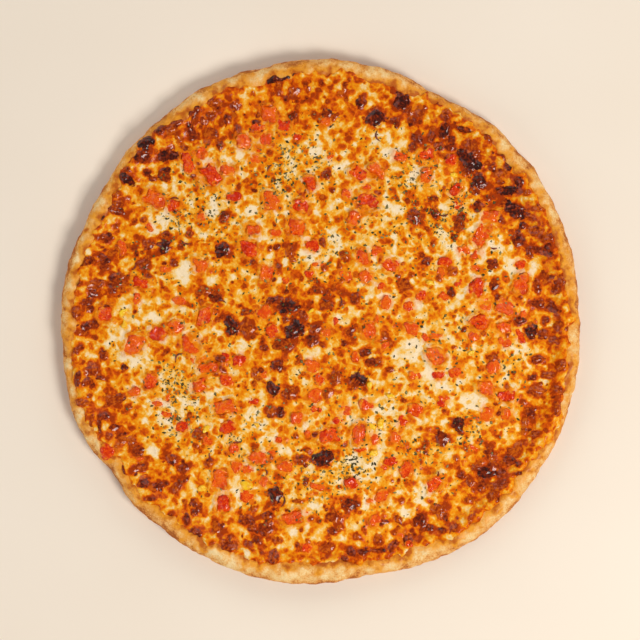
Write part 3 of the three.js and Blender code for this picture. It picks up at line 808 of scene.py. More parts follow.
def raise_blisters(x, y, height, finder):
    """Adds the blisters' domes to the height.

    Returns how deep inside a blister each point lies, from 1 in its middle over 0 at its edge to -1
    well outside, and how burnt that blister is.
    """
    points = flat_points(x, y)
    uneven = 1 + BLISTER_UNEVEN * fractal(points, BLISTER_UNEVEN_SIZE, BLISTER_SHIFT)
    depth = np.full_like(height, -1.0)
    burnt = np.zeros_like(height)
    dome = np.zeros_like(height)
    for at_x, at_y, half_length, half_width, turn, proud, burn in BLISTERS:
        near = finder.near(at_x, at_y, BLISTER_REACH * half_length)
        away_x, away_y = x[near] - at_x, y[near] - at_y
        along = (away_x * math.cos(turn) + away_y * math.sin(turn)) / half_length
        across = (away_y * math.cos(turn) - away_x * math.sin(turn)) / half_width
        away = np.hypot(along, across) * uneven[near]
        top = (1 + DOME_SUNK) * np.sqrt(clamp(1 - away**2)) - DOME_SUNK
        dome[near] = np.maximum(dome[near], proud * np.maximum(top, 0))
        deeper = near[1 - away > depth[near]]
        burnt[deeper] = burn
        depth[near] = np.maximum(depth[near], 1 - away)
    height += dome
    return depth, burnt


def add_stain(stain, near, away):
    """Deepens the juice's stain at the points near a piece of tomato, by how far away they are."""
    stain[near] = np.maximum(stain[near], np.exp(-np.maximum(away, 0) / STAIN_WIDTH))


def nestle_dice(x, y, height, finder, lip):
    """Sinks the cheese under the dice, draws it up around them and returns the juice's stain."""
    stain = np.zeros_like(height)
    rise = np.zeros_like(height)
    for die in DICE:
        near = finder.near(die.x, die.y, die.reach * 2 + LIP_WIDTH)
        outside = (die.nearness(x[near], y[near]) - 1) * die.reach
        raised = LIP_HEIGHT * lip[near] * np.exp(-(((outside - LIP_AWAY) / LIP_WIDTH) ** 2))
        sunk = DIE_HOLLOW * smoothstep(0, DIE_HOLLOW_EDGE, -outside)
        lapped = np.maximum(rise[near], raised - sunk)
        rise[near] = np.where(outside < -DIE_HOLLOW_EDGE, -sunk, lapped)
        add_stain(stain, near, outside)
    height += rise
    return stain


def spots_of(rows):
    return [Spot(x, y, length, width, math.radians(turn)) for x, y, length, width, turn in rows]


BLISTERS = all_blisters()
BIT_SPOTS = spots_of(BITS)
EXTRA_SPOTS = spots_of(EXTRA_BITS)


def cheese_surface(x, y):
    """The finished upper side of the cheese at each point, with the values its material reads."""
    points = flat_points(x, y)
    finder = Finder(x, y)
    share = np.hypot(x, y) / ragged_radius(np.arctan2(y, x))
    inside = 1 - smoothstep(*LUMPS_FADE, share)
    lumps = fractal(points, LUMP_SIZE, LUMP_SHIFT)
    ripples = fractal(points, RIPPLE_SIZE, RIPPLE_SHIFT, octaves=1)
    height = cheese_top(x, y) + inside * (LUMP_HEIGHT * lumps + RIPPLE_HEIGHT * ripples)
    toast = toast_at(x, y) + LUMP_TOAST * lumps + RIPPLE_TOAST * ripples
    lip = 1 + LIP_UNEVEN * fractal(points, LIP_UNEVEN_SIZE, LIP_SHIFT)
    stain = nestle_dice(x, y, height, finder, lip)
    for bit in BIT_SPOTS + EXTRA_SPOTS:
        near = finder.near(bit.x, bit.y, bit.half_length + STAIN_REACH)
        add_stain(stain, near, np.hypot(x[near] - bit.x, y[near] - bit.y) - bit.half_width)
    depth, burnt = raise_blisters(x, y, height, finder)
    height -= EDGE_SINK * smoothstep(EDGE_SINK_FROM, 1, share)
    return height, {"toast": toast, "blister": depth, "burnt": burnt, "stain": stain}


def piece_of(mesh, name, material, replaced=()):
    """Scales a mesh in millimetres to metres and makes it a piece that rides on the pizza."""
    mesh.name = name
    mesh.transform(Matrix.Scale(MM, 4))
    mesh.shade_smooth()
    mesh.materials.append(material)
    piece = bpy.data.objects.new(name, mesh)
    bpy.context.scene.collection.objects.link(piece)
    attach(piece, "root")
    if replaced:
        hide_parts(*replaced)
    return piece


def mesh_of(bm):
    """The finished mesh of a bmesh, with its faces turned outwards."""
    bmesh.ops.recalc_face_normals(bm, faces=bm.faces)
    mesh = bpy.data.meshes.new("mesh")
    bm.to_mesh(mesh)
    bm.free()
    return mesh


def read_vertices(mesh, what="co"):
    """The places of a mesh's vertices, or their normals."""
    values = np.empty(len(mesh.vertices) * 3, np.float32)
    mesh.vertices.foreach_get(what, values)
    return values.reshape(-1, 3).astype(float)


def write_places(mesh, places):
    mesh.vertices.foreach_set("co", places.astype(np.float32).ravel())
    mesh.update()


def column(values):
    """One number for each copy or vertex, as a column that fits their places."""
    return np.asarray(values, float)[:, None]


def swell_out(mesh, places, far):
    """Moves the vertices from their places along the mesh's normals."""
    write_places(mesh, places + read_vertices(mesh, "normal") * column(far))


def paint(mesh, name, values):
    """Stores one number at each vertex, which the materials read."""
    attribute = mesh.attributes.new(name, "FLOAT", "POINT")
    attribute.data.foreach_set("value", np.asarray(values, np.float32))


def round_square(u, v):
    """Draws a square grid out into a disc: each square ring of it becomes a round one."""
    ring = np.maximum(np.abs(u), np.abs(v))
    sideways = np.abs(u) < np.abs(v)
    long_side = np.where(sideways, v, u)
    short_side = np.where(sideways, u, v)
    along = np.divide(short_side, long_side, out=np.zeros_like(u), where=long_side != 0)
    turn = along * math.pi / 4
    angle = np.where(sideways, math.pi / 2 - turn, turn) + np.where(long_side < 0, math.pi, 0)
    return ring, angle


def make_cheese(material):
    """The sheet of melted cheese, with a skirt at its edge and a flat underside."""
    bm = bmesh.new()
    bmesh.ops.create_grid(bm, x_segments=CHEESE_CELLS, y_segments=CHEESE_CELLS, size=1)
    sheet = len(bm.verts)
    bmesh.ops.extrude_edge_only(bm, edges=[e for e in bm.edges if e.is_boundary])
    bmesh.ops.holes_fill(bm, edges=[e for e in bm.edges if e.is_boundary], sides=0)
    mesh = mesh_of(bm)
    places = read_vertices(mesh)
    ring, angle = round_square(places[:, 0], places[:, 1])
    radius = ring * ragged_radius(angle)
    x, y = radius * np.cos(angle), radius * np.sin(angle)
    height, values = cheese_surface(x[:sheet], y[:sheet])
    under = np.full(len(x) - sheet, FLOOR_Z + GAP)
    write_places(mesh, np.column_stack([x, y, np.concatenate([height, under])]))
    for name, value in values.items():
        paint(mesh, name, np.concatenate([value, np.zeros_like(under)]))
    return piece_of(mesh, "melted_cheese", material, ["cheese"])


def arc(start, end, rings):
    """Angles of an arc's rings, with the last one left to the next stretch."""
    return np.linspace(start, end, rings, endpoint=False)


def crust_profile():
    """The crust's section, from the middle of the underside round the rim to the hidden bed."""
    foot = arc(math.pi / 2, 0, FOOT_RINGS)
    crest = arc(0, math.pi / 2, CREST_RINGS)
    slope = np.linspace(CREST_INSET, FLOOR_INSET, SLOPE_RINGS)
    underside = CRUST_RADIUS - arc(HUB_RADIUS, CRUST_RADIUS - FOOT_INSET, UNDERSIDE_RINGS)
    bed = CRUST_RADIUS - np.linspace(CRUST_RADIUS - FLOOR_INSET, HUB_RADIUS, BED_RINGS)[1:]
    foot_inset = FOOT_INSET * (1 - np.cos(foot))
    crest_inset = CREST_INSET * (1 - np.cos(crest))
    inset = np.concatenate([underside, foot_inset, crest_inset, slope, bed])
    foot_z = BELLY_Z * (1 - np.sin(foot))
    crest_z = blend(BELLY_Z, CREST_Z, np.sin(crest))
    flat, floor = np.zeros_like(underside), np.full_like(bed, FLOOR_Z)
    return CRUST_RADIUS - inset, np.concatenate([flat, foot_z, crest_z, slope_height(slope), floor])


def make_crust(material):
    bm = bmesh.new()
    section = [bm.verts.new((radius, 0, z)) for radius, z in zip(*crust_profile())]
    edges = [bm.edges.new(pair) for pair in zip(section, section[1:])]
    bmesh.ops.spin(
        bm,
        geom=section + edges,
        cent=(0, 0, 0),
        axis=(0, 0, 1),
        angle=2 * math.pi,
        steps=CRUST_STEPS,
        use_merge=True,
    )
    bmesh.ops.holes_fill(bm, edges=[e for e in bm.edges if e.is_boundary], sides=0)
    mesh = mesh_of(bm)
    places = read_vertices(mesh)
    plain_radius = np.hypot(places[:, 0], places[:, 1])
    angle = np.arctan2(places[:, 1], places[:, 0])
    radius = plain_radius * rim_radius(angle) / CRUST_RADIUS
    z = rim_lifted(places[:, 2], angle)
    places = np.column_stack([radius * np.cos(angle), radius * np.sin(angle), z])
    write_places(mesh, places)
    bare = radius - ragged_radius(angle)
    relief = relief_at(places, DOUGH_RELIEF, DOUGH_SHIFT)
    swell_out(mesh, places, relief * smoothstep(*FOOT_FADE, z) * smoothstep(*BED_FADE, bare))
    paint(mesh, "bare", bare)
    paint(mesh, "inset", CRUST_RADIUS - plain_radius)
    return piece_of(mesh, "baked_crust", material, ["crust"])


def crumple(mesh, wrinkles, shift):
    """Moves each vertex along its normal by noise, given as pairs of a size and a height."""
    places = read_vertices(mesh)
    swell_out(mesh, places, relief_at(places, wrinkles, shift))


def corners_of(places):
    """The lowest and highest corner of a few places."""
    lows = [min(place[axis] for place in places) for axis in range(3)]
    highs = [max(place[axis] for place in places) for axis in range(3)]
    return lows, highs


def soften(bm, verts, cuts, rounds):
    """Divides a chunk's faces, rounds it off, and draws it out to its first size again."""
    low, high = corners_of([v.co for v in verts])
    edges = list({e for v in verts for e in v.link_edges})
    made = bmesh.ops.subdivide_edges(bm, edges=edges, cuts=cuts, use_grid_fill=True)
    inner = [part for part in made["geom_inner"] if isinstance(part, bmesh.types.BMVert)]
    chunk = [v for v in dict.fromkeys([*verts, *inner]) if v.is_valid]
    for _ in range(rounds):
        bmesh.ops.smooth_vert(
            bm, verts=chunk, factor=0.5, use_axis_x=True, use_axis_y=True, use_axis_z=True
        )
    new_low, new_high = corners_of([v.co for v in chunk])
    for v in chunk:
        for axis in range(3):
            share = (v.co[axis] - new_low[axis]) / (new_high[axis] - new_low[axis])
            v.co[axis] = blend(low[axis], high[axis], share)
    return chunk


def make_die(die, number, material):
    bm = bmesh.new()
    bm.from_mesh(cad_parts[die.node].data)
    bmesh.ops.scale(bm, vec=(1 / MM,) * 3, verts=bm.verts)
    bmesh.ops.remove_doubles(bm, verts=bm.verts, dist=ONE_PLACE)
    soften(bm, list(bm.verts), DIE_CUTS, DIE_ROUNDS)
    mesh = mesh_of(bm)
    crumple(mesh, DIE_WRINKLES, DIE_SHIFT + number)
    places = read_vertices(mesh)
    x, y = places[:, 0], places[:, 1]
    heading = number * GOLDEN_ANGLE
    across = (x - die.x) * math.cos(heading) + (y - die.y) * math.sin(heading)
    paint(mesh, "skin", across / die.reach)
    paint(mesh, "edge", die.nearness(x, y))
    paint(mesh, "ripe", np.full(len(places), (number * GOLDEN_ANGLE) % 1))
    return piece_of(mesh, f"diced_tomato_{number:02d}", material, [die.node])


def copies(bm, count):
    """A mesh with many copies of a shape, and their vertices' places, copy by copy."""
    shape = mesh_of(bm)
    many = bmesh.new()
    for _ in range(count):
        many.from_mesh(shape)
    mesh = bpy.data.meshes.new("mesh")
    many.to_mesh(mesh)
    many.free()
    bpy.data.meshes.remove(shape)
    return mesh, read_vertices(mesh).reshape(count, -1, 3)


def write_copies(mesh, x, y, z):
    """Puts the copies' vertices in their places, which are given copy by copy."""
    write_places(mesh, np.stack([x, y, z], axis=-1).reshape(-1, 3))


def turned(x, y, turn):
    """Two coordinates of places, turned about the third one's axis."""
    return x * np.cos(turn) - y * np.sin(turn), x * np.sin(turn) + y * np.cos(turn)


def make_chunks(spots, proud, name, material):
    """Small tapered chunks, shaped as the solids' bits are, one for each spot."""
    bm = bmesh.new()
    cone = bmesh.ops.create_cone(
        bm, cap_ends=True, cap_tris=True, segments=BIT_SIDES, radius1=1, radius2=BIT_TAPER, depth=1
    )
    soften(bm, cone["verts"], BIT_CUTS, BIT_ROUNDS)
    mesh, places = copies(bm, len(spots))
    local_x, local_y, local_z = places[..., 0], places[..., 1], places[..., 2]
    at_x, at_y = column([s.x for s in spots]), column([s.y for s in spots])
    length, width = column([s.half_length for s in spots]), column([s.half_width for s in spots])
    turn, proud = column([s.turn for s in spots]), column(proud)
    around, radius = np.arctan2(local_y, local_x), np.hypot(local_x, local_y)
    step = around / (2 * math.pi) * BIT_SIDES % BIT_SIDES
    before = np.floor(step) % BIT_SIDES
    after = (before + 1) % BIT_SIDES
    waves = [np.sin(side * side + at_x) for side in (before, after)]
    corner = BIT_CORNER + BIT_CORNER_SPREAD * blend(*waves, step % 1)
    inward = clamp(radius / BIT_TAPER)
    crown = BIT_CROWN * BIT_HEIGHT * blend(1, corner - 1, inward) * clamp(2 * local_z)
    x, y = turned(local_x * corner * length, local_y * corner * width, turn)
    middle = cheese_top(at_x, at_y) + proud - BIT_HEIGHT / 2
    write_copies(mesh, x + at_x, y + at_y, local_z * BIT_HEIGHT + crown + middle)
    crumple(mesh, BIT_WRINKLES, BIT_SHIFT)
    ripe = column(np.arange(len(spots)) * GOLDEN_ANGLE % 1) + np.zeros_like(x)
    heading = ripe * BIT_SKIN_TURN
    paint(mesh, "ripe", ripe.ravel())
    paint(mesh, "edge", radius.ravel())
    paint(mesh, "skin", (local_x * np.cos(heading) + local_y * np.sin(heading)).ravel())
    return piece_of(mesh, name, material)


def make_bits(material):
    """The smaller pieces of tomato, as one joined mesh."""
    proud = [BIT_PROUD] * len(BIT_SPOTS) + [EXTRA_BIT_PROUD] * len(EXTRA_SPOTS)
    make_chunks(BIT_SPOTS + EXTRA_SPOTS, proud, "small_tomato_bits", material)


def make_golden_bits(material):
    spots = [
        Spot(x, y, half, half * GOLDEN_SLIM, number * GOLDEN_TURN)
        for number, (x, y, half) in enumerate(GOLDEN_BITS)
    ]
    make_chunks(spots, [BIT_PROUD] * len(spots), "golden_bits", material)


def make_curls(material):
    """Thin curls of tomato skin, each a slim rod with pointed ends, bent sideways and laid down."""
    bm = bmesh.new()
    rod = bmesh.ops.create_cone(
        bm, cap_ends=True, cap_tris=True, segments=CURL_SIDES, radius1=1, radius2=1, depth=2
    )
    upright = {e for v in rod["verts"] for e in v.link_edges if e.calc_length() > CURL_UPRIGHT}
    bmesh.ops.subdivide_edges(bm, edges=list(upright), cuts=CURL_CUTS)
    mesh, places = copies(bm, CURLS)
    random = np.random.default_rng(CURL_SEED)
    angle = random.uniform(0, 2 * math.pi, CURLS)
    away = np.sqrt(random.uniform(0, CURLS_TO**2, CURLS)) * cheese_radius(angle)
    half = column(random.uniform(*CURL_HALF, CURLS))
    bend = column(random.uniform(*CURL_BEND, CURLS))
    turn = column(random.uniform(0, 2 * math.pi, CURLS))
    rise = places[..., 2]
    slim = CURL_THICK * np.sqrt(np.maximum(1 - (rise * CURL_POINT) ** 2, 0))
    aside = places[..., 0] * slim + bend * half * (1 - rise**2)
    x, y = turned(rise * half, aside, turn)
    x, y = x + column(away * np.cos(angle)), y + column(away * np.sin(angle))
    height = cheese_surface(x.ravel(), y.ravel())[0].reshape(x.shape)
    write_copies(mesh, x, y, height + CURL_THICK / 2 + places[..., 1] * slim)
    return piece_of(mesh, "tomato_skin_curls", material)


def herb_places(random):
    """Where the smaller flakes fell: a thin sprinkling all over, and the clusters."""
    angle = random.uniform(0, 2 * math.pi, HERB_SPREAD)
    radius = np.sqrt(random.uniform(0, HERB_TO**2, HERB_SPREAD)) * cheese_radius(angle)
    places = [np.column_stack([radius * np.cos(angle), radius * np.sin(angle)])]
    for x, y, size, count in HERB_CLUSTERS:
        places.append(random.normal((x, y), size, (count, 2)))
    return np.vstack(places).T


def topping_height(x, y, height):
    """The height that a flake lies at: on the cheese, or on the die that is there."""
    on_die = height.copy()
    for die in DICE:
        inside = die.nearness(x, y) < DIE_FLAT_SHARE
        on_die[inside] = die.top - DIE_CROWN_DROP
    return on_die


def flakes_then(flake, small):
    """A column with the solids' own flakes' numbers first and then the smaller flakes' ones."""
    return column(np.concatenate([np.broadcast_to(flake, FLAKE_COUNT), small]))


def make_herbs(material):
    """Flakes of dried herb, each a small leaf shard with eight faces."""
    flakes = draw_spots(FLAKE_COUNT, FLAKE_SEED, (FLAKE_LENGTH, FLAKE_LENGTH), 0, FLAKES_TO)
    flake_x, flake_y = np.array([s.x for s in flakes]), np.array([s.y for s in flakes])
    random = np.random.default_rng(HERB_SEED)
    small_x, small_y = herb_places(random)
    small = len(small_x)
    bm = bmesh.new()
    bmesh.ops.create_uvsphere(bm, u_segments=4, v_segments=2, radius=1)
    mesh, places = copies(bm, FLAKE_COUNT + small)
    small_z = topping_height(small_x, small_y, cheese_surface(small_x, small_y)[0]) + HERB_RISE
    small_length = blend(*HERB_LENGTH, random.uniform(size=small) ** HERB_SMALLER)
    length = flakes_then(FLAKE_LENGTH, small_length)
    width = flakes_then(FLAKE_WIDTH, small_length * random.uniform(*HERB_SLIM, small))
    thick = flakes_then(2 * FLAKE_PROUD, np.full(small, HERB_THICK))
    turn = flakes_then([s.turn for s in flakes], random.uniform(0, math.pi, small))
    tilt = flakes_then(0, random.uniform(-HERB_TILT, HERB_TILT, small))
    ragged = random.normal(0, HERB_RAGGED, places.shape)
    local = places / 2 * np.stack([length, width, thick], axis=-1) + ragged
    local_y, local_z = turned(local[..., 1], local[..., 2], tilt)
    x, y = turned(local[..., 0], local_y, turn)
    z = local_z + flakes_then(cheese_top(flake_x, flake_y), small_z)
    write_copies(mesh, x + flakes_then(flake_x, small_x), y + flakes_then(flake_y, small_y), z)
    paint(mesh, "dry", np.repeat(random.uniform(size=len(places)), places.shape[1]))
    return piece_of(mesh, "dried_herbs", material)


def tint(red, green, blue):
    """A colour as a screen shows it, from 0 to 255, in the linear form that materials take."""
    shown = np.array([red, green, blue]) / 255
    linear = np.where(shown < 0.04045, shown / 12.92, ((shown + 0.055) / 1.055) ** 2.4)
    return (*linear.tolist(), 1.0)


class Recipe:
    """The node tree of a material or group, with a short call for each kind of node it uses."""

    def __init__(self, tree):
        self.tree = tree

    def feed(self, socket, value):
        """Links an output to the socket, or sets the socket to a plain value."""
        if isinstance(value, bpy.types.NodeSocket):
            self.tree.links.new(value, socket)
        else:
            socket.default_value = value

    def node(self, kind, inputs=None, **settings):
        """A new node with its settings, and with its inputs fed by their names or numbers."""
        node = self.tree.nodes.new(kind)
        for name, value in settings.items():
            setattr(node, name, value)
        for socket, value in (inputs or {}).items():
            self.feed(node.inputs[socket], value)
        return node

    def maths(self, operation, *values):
        node = self.node("ShaderNodeMath", dict(enumerate(values)), operation=operation)
        return node.outputs[0]

    def times(self, first, second):
        return self.maths("MULTIPLY", first, second)

    def total(self, first, *others):
        for other in others:
            first = self.maths("ADD", first, other)
        return first

    def share(self, value, low, high):
        """A smooth step from 0 where the value is low to 1 where it is high."""
        inputs = {"Value": value, "From Min": low, "From Max": high}
        node = self.node("ShaderNodeMapRange", inputs, interpolation_type="SMOOTHSTEP")
        return node.outputs[0]

    def tints(self, value, stops):
        """A colour by the value, from rows of a place between 0 and 1 and a colour of 0 to 255."""
        ramp = self.node("ShaderNodeValToRGB", {0: value})
        elements = ramp.color_ramp.elements
        while len(elements) < len(stops):
            elements.new(0.5)
        for element, (place, colour) in zip(elements, stops):
            element.position = place
            element.color = tint(*colour)
        return ramp.outputs["Color"]

    def mixed(self, share, under, over):
        inputs = {MIX_SHARE: share, MIX_UNDER: under, MIX_OVER: over}
        return self.node("ShaderNodeMix", inputs, data_type="RGBA").outputs[MIX_COLOUR]

    def painted(self, name):
        """One of the numbers stored at the piece's vertices."""
        return self.node("ShaderNodeAttribute", attribute_name=name).outputs["Fac"]

    def placed(self, group, **values):
        """A node group with its inputs fed, by their names in small letters."""
        inputs = {name.capitalize(): value for name, value in values.items()}
        return self.node("ShaderNodeGroup", inputs, node_tree=group).outputs[0]

    def mottle(self, size, **values):
        """Noise in features of a size in millimetres, from minus to plus half the spread."""
        return self.placed(MOTTLE, size=size, **values)


def new_group(name, inputs, output_kind, output_name):
    """An empty node group with float inputs and one output, and its recipe and end nodes."""
    group = bpy.data.node_groups.new(name, "ShaderNodeTree")
    sockets = group.interface
    for input_name, value in inputs.items():
        socket = sockets.new_socket(input_name, in_out="INPUT", socket_type="NodeSocketFloat")
        socket.default_value = value
    sockets.new_socket(output_name, in_out="OUTPUT", socket_type=output_kind)
    recipe = Recipe(group)
    given = recipe.node("NodeGroupInput").outputs
    result = recipe.node("NodeGroupOutput").inputs[0]
    return group, recipe, given, result


def place_in_mm(recipe, size):
    """The point on the piece, in units of a size in millimetres."""
    place = recipe.node("ShaderNodeTexCoord").outputs["Object"]
    inputs = {0: place, "Scale": recipe.maths("DIVIDE", 1 / MM, size)}
    return recipe.node("ShaderNodeVectorMath", inputs, operation="SCALE").outputs[0]


def group_noise(recipe, given, inputs):
    """Noise in features of a group's size, which the group's shift makes run in another way."""
    place = place_in_mm(recipe, given["Size"])
    inputs = {"Vector": place, "W": given["Shift"], "Scale": 1.0, **inputs}
    return recipe.node("ShaderNodeTexNoise", inputs, noise_dimensions="4D").outputs["Fac"]


def mottle_group():
    inputs = {"Size": 3.0, "Spread": 1.0, "Detail": 2.0, "Distortion": 0.0, "Shift": 0.0}
    group, recipe, given, result = new_group("Mottle", inputs, "NodeSocketFloat", "Value")
    noise = group_noise(recipe, given, {name: given[name] for name in ("Detail", "Distortion")})
    centred = recipe.maths("SUBTRACT", noise, 0.5)
    recipe.feed(result, recipe.times(centred, recipe.times(given["Spread"], 2.0)))
    return group


def grain_group():
    """Fine relief: noise of a size, as a normal."""
    inputs = {"Size": 1.0, "Depth": 0.1, "Shift": 0.0}
    group, recipe, given, result = new_group("Grain relief", inputs, "NodeSocketVector", "Normal")
    relief = {
        "Strength": 1.0,
        "Distance": recipe.times(given["Depth"], MM),
        "Height": group_noise(recipe, given, {"Detail": 3.0}),
    }
    recipe.feed(result, recipe.node("ShaderNodeBump", relief).outputs["Normal"])
    return group


def specks_group():
    """Scattered specks, round or warped: 1 in their middles and 0 outside them."""
    inputs = {"Size": 3.0, "Filled": 0.2, "Softness": 0.1, "Warp": 0.0}
    group, recipe, given, result = new_group("Specks", inputs, "NodeSocketFloat", "Mask")
    place = place_in_mm(recipe, given["Size"])
    noise = recipe.node("ShaderNodeTexNoise", {"Vector": place, "Scale": 1.0, "Detail": 1.0})
    push = {0: noise.outputs["Color"], 1: given["Warp"], 2: place}
    pushed = recipe.node("ShaderNodeVectorMath", push, operation="MULTIPLY_ADD").outputs[0]
    cells = recipe.node("ShaderNodeTexVoronoi", {"Vector": pushed, "Scale": 1.0})
    outer = recipe.total(given["Filled"], given["Softness"])
    recipe.feed(result, recipe.share(cells.outputs["Distance"], outer, given["Filled"]))
    return group


MOTTLE = mottle_group()
GRAIN = grain_group()
SPECKS = specks_group()


def new_material(name, **plain):
    """A material whose shader has its plain values set, with its recipe and the shader's inputs."""
    material = bpy.data.materials.new(name)
    material.use_nodes = True
    shader = material.node_tree.nodes["Principled BSDF"]
    for socket, value in plain.items():
        shader.inputs[socket.replace("_", " ")].default_value = value
    return material, Recipe(material.node_tree), shader.inputs


def cheese_material():
    material, recipe, inputs = new_material(
        "Browned cheese", Specular_IOR_Level=0.04, Coat_Roughness=0.12
    )
    blister = recipe.total(recipe.painted("blister"), recipe.mottle(2.0, spread=0.45, shift=1.0))
    halo = recipe.share(blister, -0.9, 0.0)
    blob = recipe.placed(SPECKS, size=5.6, filled=0.3, softness=0.3, warp=1.2)
    toast = recipe.total(
        recipe.painted("toast"),
        TOAST_PALER,
        recipe.times(blob, 0.3),
        recipe.mottle(6.0, spread=0.44, detail=1.0, distortion=0.8, shift=2.0),
        recipe.mottle(2.6, spread=0.36, distortion=0.8, shift=3.0),
        recipe.times(halo, 0.3),
    )
    colour = recipe.tints(toast, CHEESE_TINTS)
    stain = recipe.total(recipe.painted("stain"), recipe.mottle(2.5, spread=0.6, shift=5.0))
    juice = recipe.share(stain, 0.35, 1.0)
    colour = recipe.mixed(recipe.times(juice, 0.5), colour, tint(240, 134, 20))
    freckle = recipe.placed(SPECKS, size=2.4, filled=0.12, softness=0.14, warp=0.8)
    freckle = recipe.times(freckle, recipe.share(toast, 0.4, 0.8))
    colour = recipe.mixed(recipe.times(freckle, 0.55), colour, tint(150, 56, 8))
    burnt = recipe.total(
        recipe.painted("burnt"),
        recipe.mottle(1.5, spread=0.9, shift=6.0),
        recipe.mottle(5.0, spread=0.4, detail=1.0, shift=8.0),
    )
    seared = recipe.share(blister, -0.1, 0.14)
    colour = recipe.mixed(seared, colour, recipe.tints(burnt, BURNT_TINTS))
    recipe.feed(inputs["Base Color"], colour)
    oily = recipe.share(toast, 0.35, 0.7)
    smoother = recipe.maths("SUBTRACT", 0.55, recipe.times(oily, 0.2))
    recipe.feed(inputs["Roughness"], recipe.total(smoother, recipe.times(seared, 0.1)))
    wet = recipe.total(recipe.times(oily, 0.1), recipe.times(seared, 0.35))
    recipe.feed(inputs["Coat Weight"], wet)
    recipe.feed(inputs["Normal"], recipe.placed(GRAIN, size=1.6, depth=1.0, shift=7.0))
    return material


def crust_material():
    material, recipe, inputs = new_material(
        "Baked crust", Specular_IOR_Level=0.1, Coat_Roughness=0.3
    )
    place = recipe.node("ShaderNodeTexCoord").outputs["Object"]
    height = recipe.node("ShaderNodeSeparateXYZ", {0: place}).outputs["Z"]
    low_side = recipe.share(height, *[z * MM for z in LOW_SIDE_FADE])
    outer = recipe.share(recipe.painted("inset"), *OUTER_SIDE_FADE)
    bake = recipe.total(
        0.36,
        recipe.mottle(22.0, spread=0.8, shift=1.0),
        recipe.mottle(5.0, spread=0.8, detail=4.0, shift=2.0),
        recipe.mottle(0.9, spread=0.55, detail=3.0, shift=3.0),
        recipe.times(outer, 0.3),
        recipe.times(low_side, 0.25),
    )
    colour = recipe.tints(bake, CRUST_TINTS)
    freckle = recipe.placed(SPECKS, size=2.4, filled=0.1, softness=0.14)
    colour = recipe.mixed(recipe.times(freckle, 0.3), colour, tint(176, 104, 50))
    ragged = recipe.mottle(9.0, spread=14.0, detail=3.0, shift=4.0)
    bare = recipe.total(recipe.painted("bare"), ragged)
    oil = recipe.share(bare, 7.0, 0.5)
    colour = recipe.mixed(recipe.times(oil, 0.9), colour, tint(240, 156, 24))
    streak = recipe.total(bare, recipe.mottle(4.0, spread=8.0, detail=3.0, shift=6.0))
    streak = recipe.share(streak, 2.5, -4.0)
    colour = recipe.mixed(recipe.times(streak, 0.85), colour, tint(182, 78, 12))
    recipe.feed(inputs["Base Color"], colour)
    recipe.feed(inputs["Roughness"], recipe.maths("SUBTRACT", 0.75, recipe.times(oil, 0.3)))
    recipe.feed(inputs["Coat Weight"], recipe.times(oil, 0.2))
    recipe.feed(inputs["Normal"], recipe.placed(GRAIN, size=1.1, depth=0.8, shift=5.0))
    return material


def tomato_material():
    material, recipe, inputs = new_material(
        "Baked tomato",
        Roughness=0.5,
        Specular_IOR_Level=0.08,
        Coat_Weight=0.4,
        Coat_Roughness=0.06,
    )
    ripe = recipe.total(
        recipe.painted("ripe"),
        recipe.mottle(4.0, spread=0.6, shift=1.0),
        recipe.mottle(2.2, spread=1.2, detail=3.0, distortion=2.0, shift=6.0),
    )
    colour = recipe.tints(ripe, TOMATO_TINTS)
    skin = recipe.total(recipe.painted("skin"), recipe.mottle(3.0, spread=0.6, shift=2.0))
    skin = recipe.share(skin, 0.3, 0.9)
    colour = recipe.mixed(recipe.times(skin, 0.6), colour, tint(188, 34, 14))
    edge = recipe.painted("edge")
    melted = recipe.total(edge, recipe.mottle(4.5, spread=1.1, shift=3.0))
    melted = recipe.share(melted, 0.7, 1.05)
    colour = recipe.mixed(recipe.times(melted, 0.85), colour, tint(244, 150, 26))
    singed = recipe.total(edge, recipe.mottle(4.0, spread=1.6, shift=4.0))
    singed = recipe.share(singed, 1.25, 1.45)
    colour = recipe.mixed(recipe.times(singed, 0.85), colour, tint(110, 34, 16))
    recipe.feed(inputs["Base Color"], colour)
    recipe.feed(inputs["Normal"], recipe.placed(GRAIN, size=2.2, depth=1.1, shift=5.0))
    return material


def golden_material():
    material, recipe, inputs = new_material(
        "Golden bits", Roughness=0.35, Coat_Weight=0.2, Coat_Roughness=0.2
    )
    shade = recipe.total(0.5, recipe.mottle(2.5, spread=0.9, detail=3.0))
    recipe.feed(inputs["Base Color"], recipe.tints(shade, GOLDEN_TINTS))
    recipe.feed(inputs["Normal"], recipe.placed(GRAIN, size=1.4, depth=0.3, shift=1.0))
    return material


def curl_material():
    material, recipe, inputs = new_material("Dried tomato skin", Roughness=0.4)
    shade = recipe.total(0.5, recipe.mottle(2.0, detail=3.0))
    recipe.feed(inputs["Base Color"], recipe.tints(shade, CURL_TINTS))
    recipe.feed(inputs["Normal"], recipe.placed(GRAIN, size=0.8, depth=0.2))
    return material


def herb_material():
    material, recipe, inputs = new_material("Dried herbs", Roughness=0.8, Specular_IOR_Level=0.2)
    shade = recipe.total(recipe.painted("dry"), recipe.mottle(0.6, spread=0.3))
    recipe.feed(inputs["Base Color"], recipe.tints(shade, HERB_TINTS))
    recipe.feed(inputs["Normal"], recipe.placed(GRAIN, size=0.4, depth=0.1))
    return material


def floor_material():
    material, recipe, inputs = new_material("Pale floor", Roughness=0.6, Specular_IOR_Level=0.2)
    shade = recipe.total(0.5, recipe.mottle(160.0, spread=0.6))
    recipe.feed(inputs["Base Color"], recipe.tints(shade, FLOOR_TINTS))
    return material


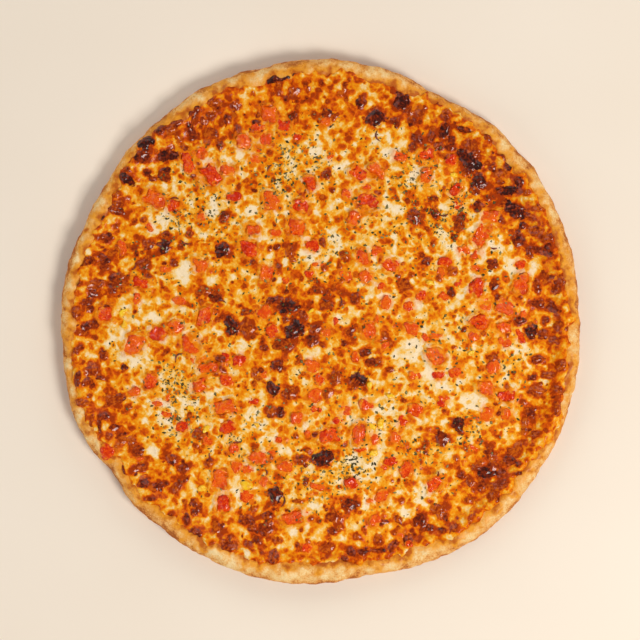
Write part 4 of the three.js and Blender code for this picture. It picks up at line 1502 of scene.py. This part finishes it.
def make_floor():
    bm = bmesh.new()
    bmesh.ops.create_grid(bm, x_segments=1, y_segments=1, size=FLOOR_HALF)
    bmesh.ops.translate(bm, vec=(0, 0, -FLOOR_BELOW), verts=bm.verts)
    mesh = bpy.data.meshes.new("floor")
    bm.to_mesh(mesh)
    bm.free()
    mesh.materials.append(floor_material())
    floor = bpy.data.objects.new("floor", mesh)
    bpy.context.scene.collection.objects.link(floor)


def make_light(name, place, size, energy, colour):
    """A soft square light that shines from its place on the middle of the pizza."""
    light = bpy.data.lights.new(name, "AREA")
    light.size, light.energy, light.color = size, energy, colour
    lamp = bpy.data.objects.new(name, light)
    lamp.location = place
    lamp.rotation_euler = (-Vector(place)).to_track_quat("-Z", "Y").to_euler()
    bpy.context.scene.collection.objects.link(lamp)


def make_surroundings():
    world = bpy.data.worlds.new("studio")
    world.use_nodes = True
    background = world.node_tree.nodes["Background"]
    background.inputs["Color"].default_value = (*SKY_COLOUR, 1)
    background.inputs["Strength"].default_value = SKY
    bpy.context.scene.world = world


def make_camera():
    """A camera straight above, so that the pizza fills the picture as it does in the photograph."""
    camera = bpy.data.cameras.new("camera")
    camera.lens, camera.sensor_width = LENS, SENSOR
    frame_width = PICTURE_PIXELS * CRUST_RADIUS / PIZZA_RADIUS_PIXELS
    pixel = frame_width / PICTURE_PIXELS
    seer = bpy.data.objects.new("camera", camera)
    middle = PICTURE_PIXELS / 2
    x = (middle - PIZZA_MIDDLE_PIXELS[0]) * pixel
    y = (PIZZA_MIDDLE_PIXELS[1] - middle) * pixel
    z = BELLY_Z + frame_width * LENS / SENSOR
    seer.location = (x * MM, y * MM, z * MM)
    bpy.context.scene.collection.objects.link(seer)
    bpy.context.scene.camera = seer


tomato = tomato_material()
make_cheese(cheese_material())
make_crust(crust_material())
for number, die in enumerate(DICE, start=1):
    make_die(die, number, tomato)
make_bits(tomato)
make_golden_bits(golden_material())
make_curls(curl_material())
make_herbs(herb_material())

make_floor()
make_light("key", KEY_PLACE, KEY_SIZE, KEY_ENERGY, KEY_COLOUR)
for number, place in enumerate(FILL_PLACES, start=1):
    make_light(f"fill_{number}", place, FILL_SIZE, FILL_ENERGY, SKY_COLOUR)
make_surroundings()
make_camera()
bpy.context.scene.view_settings.view_transform = "Standard"
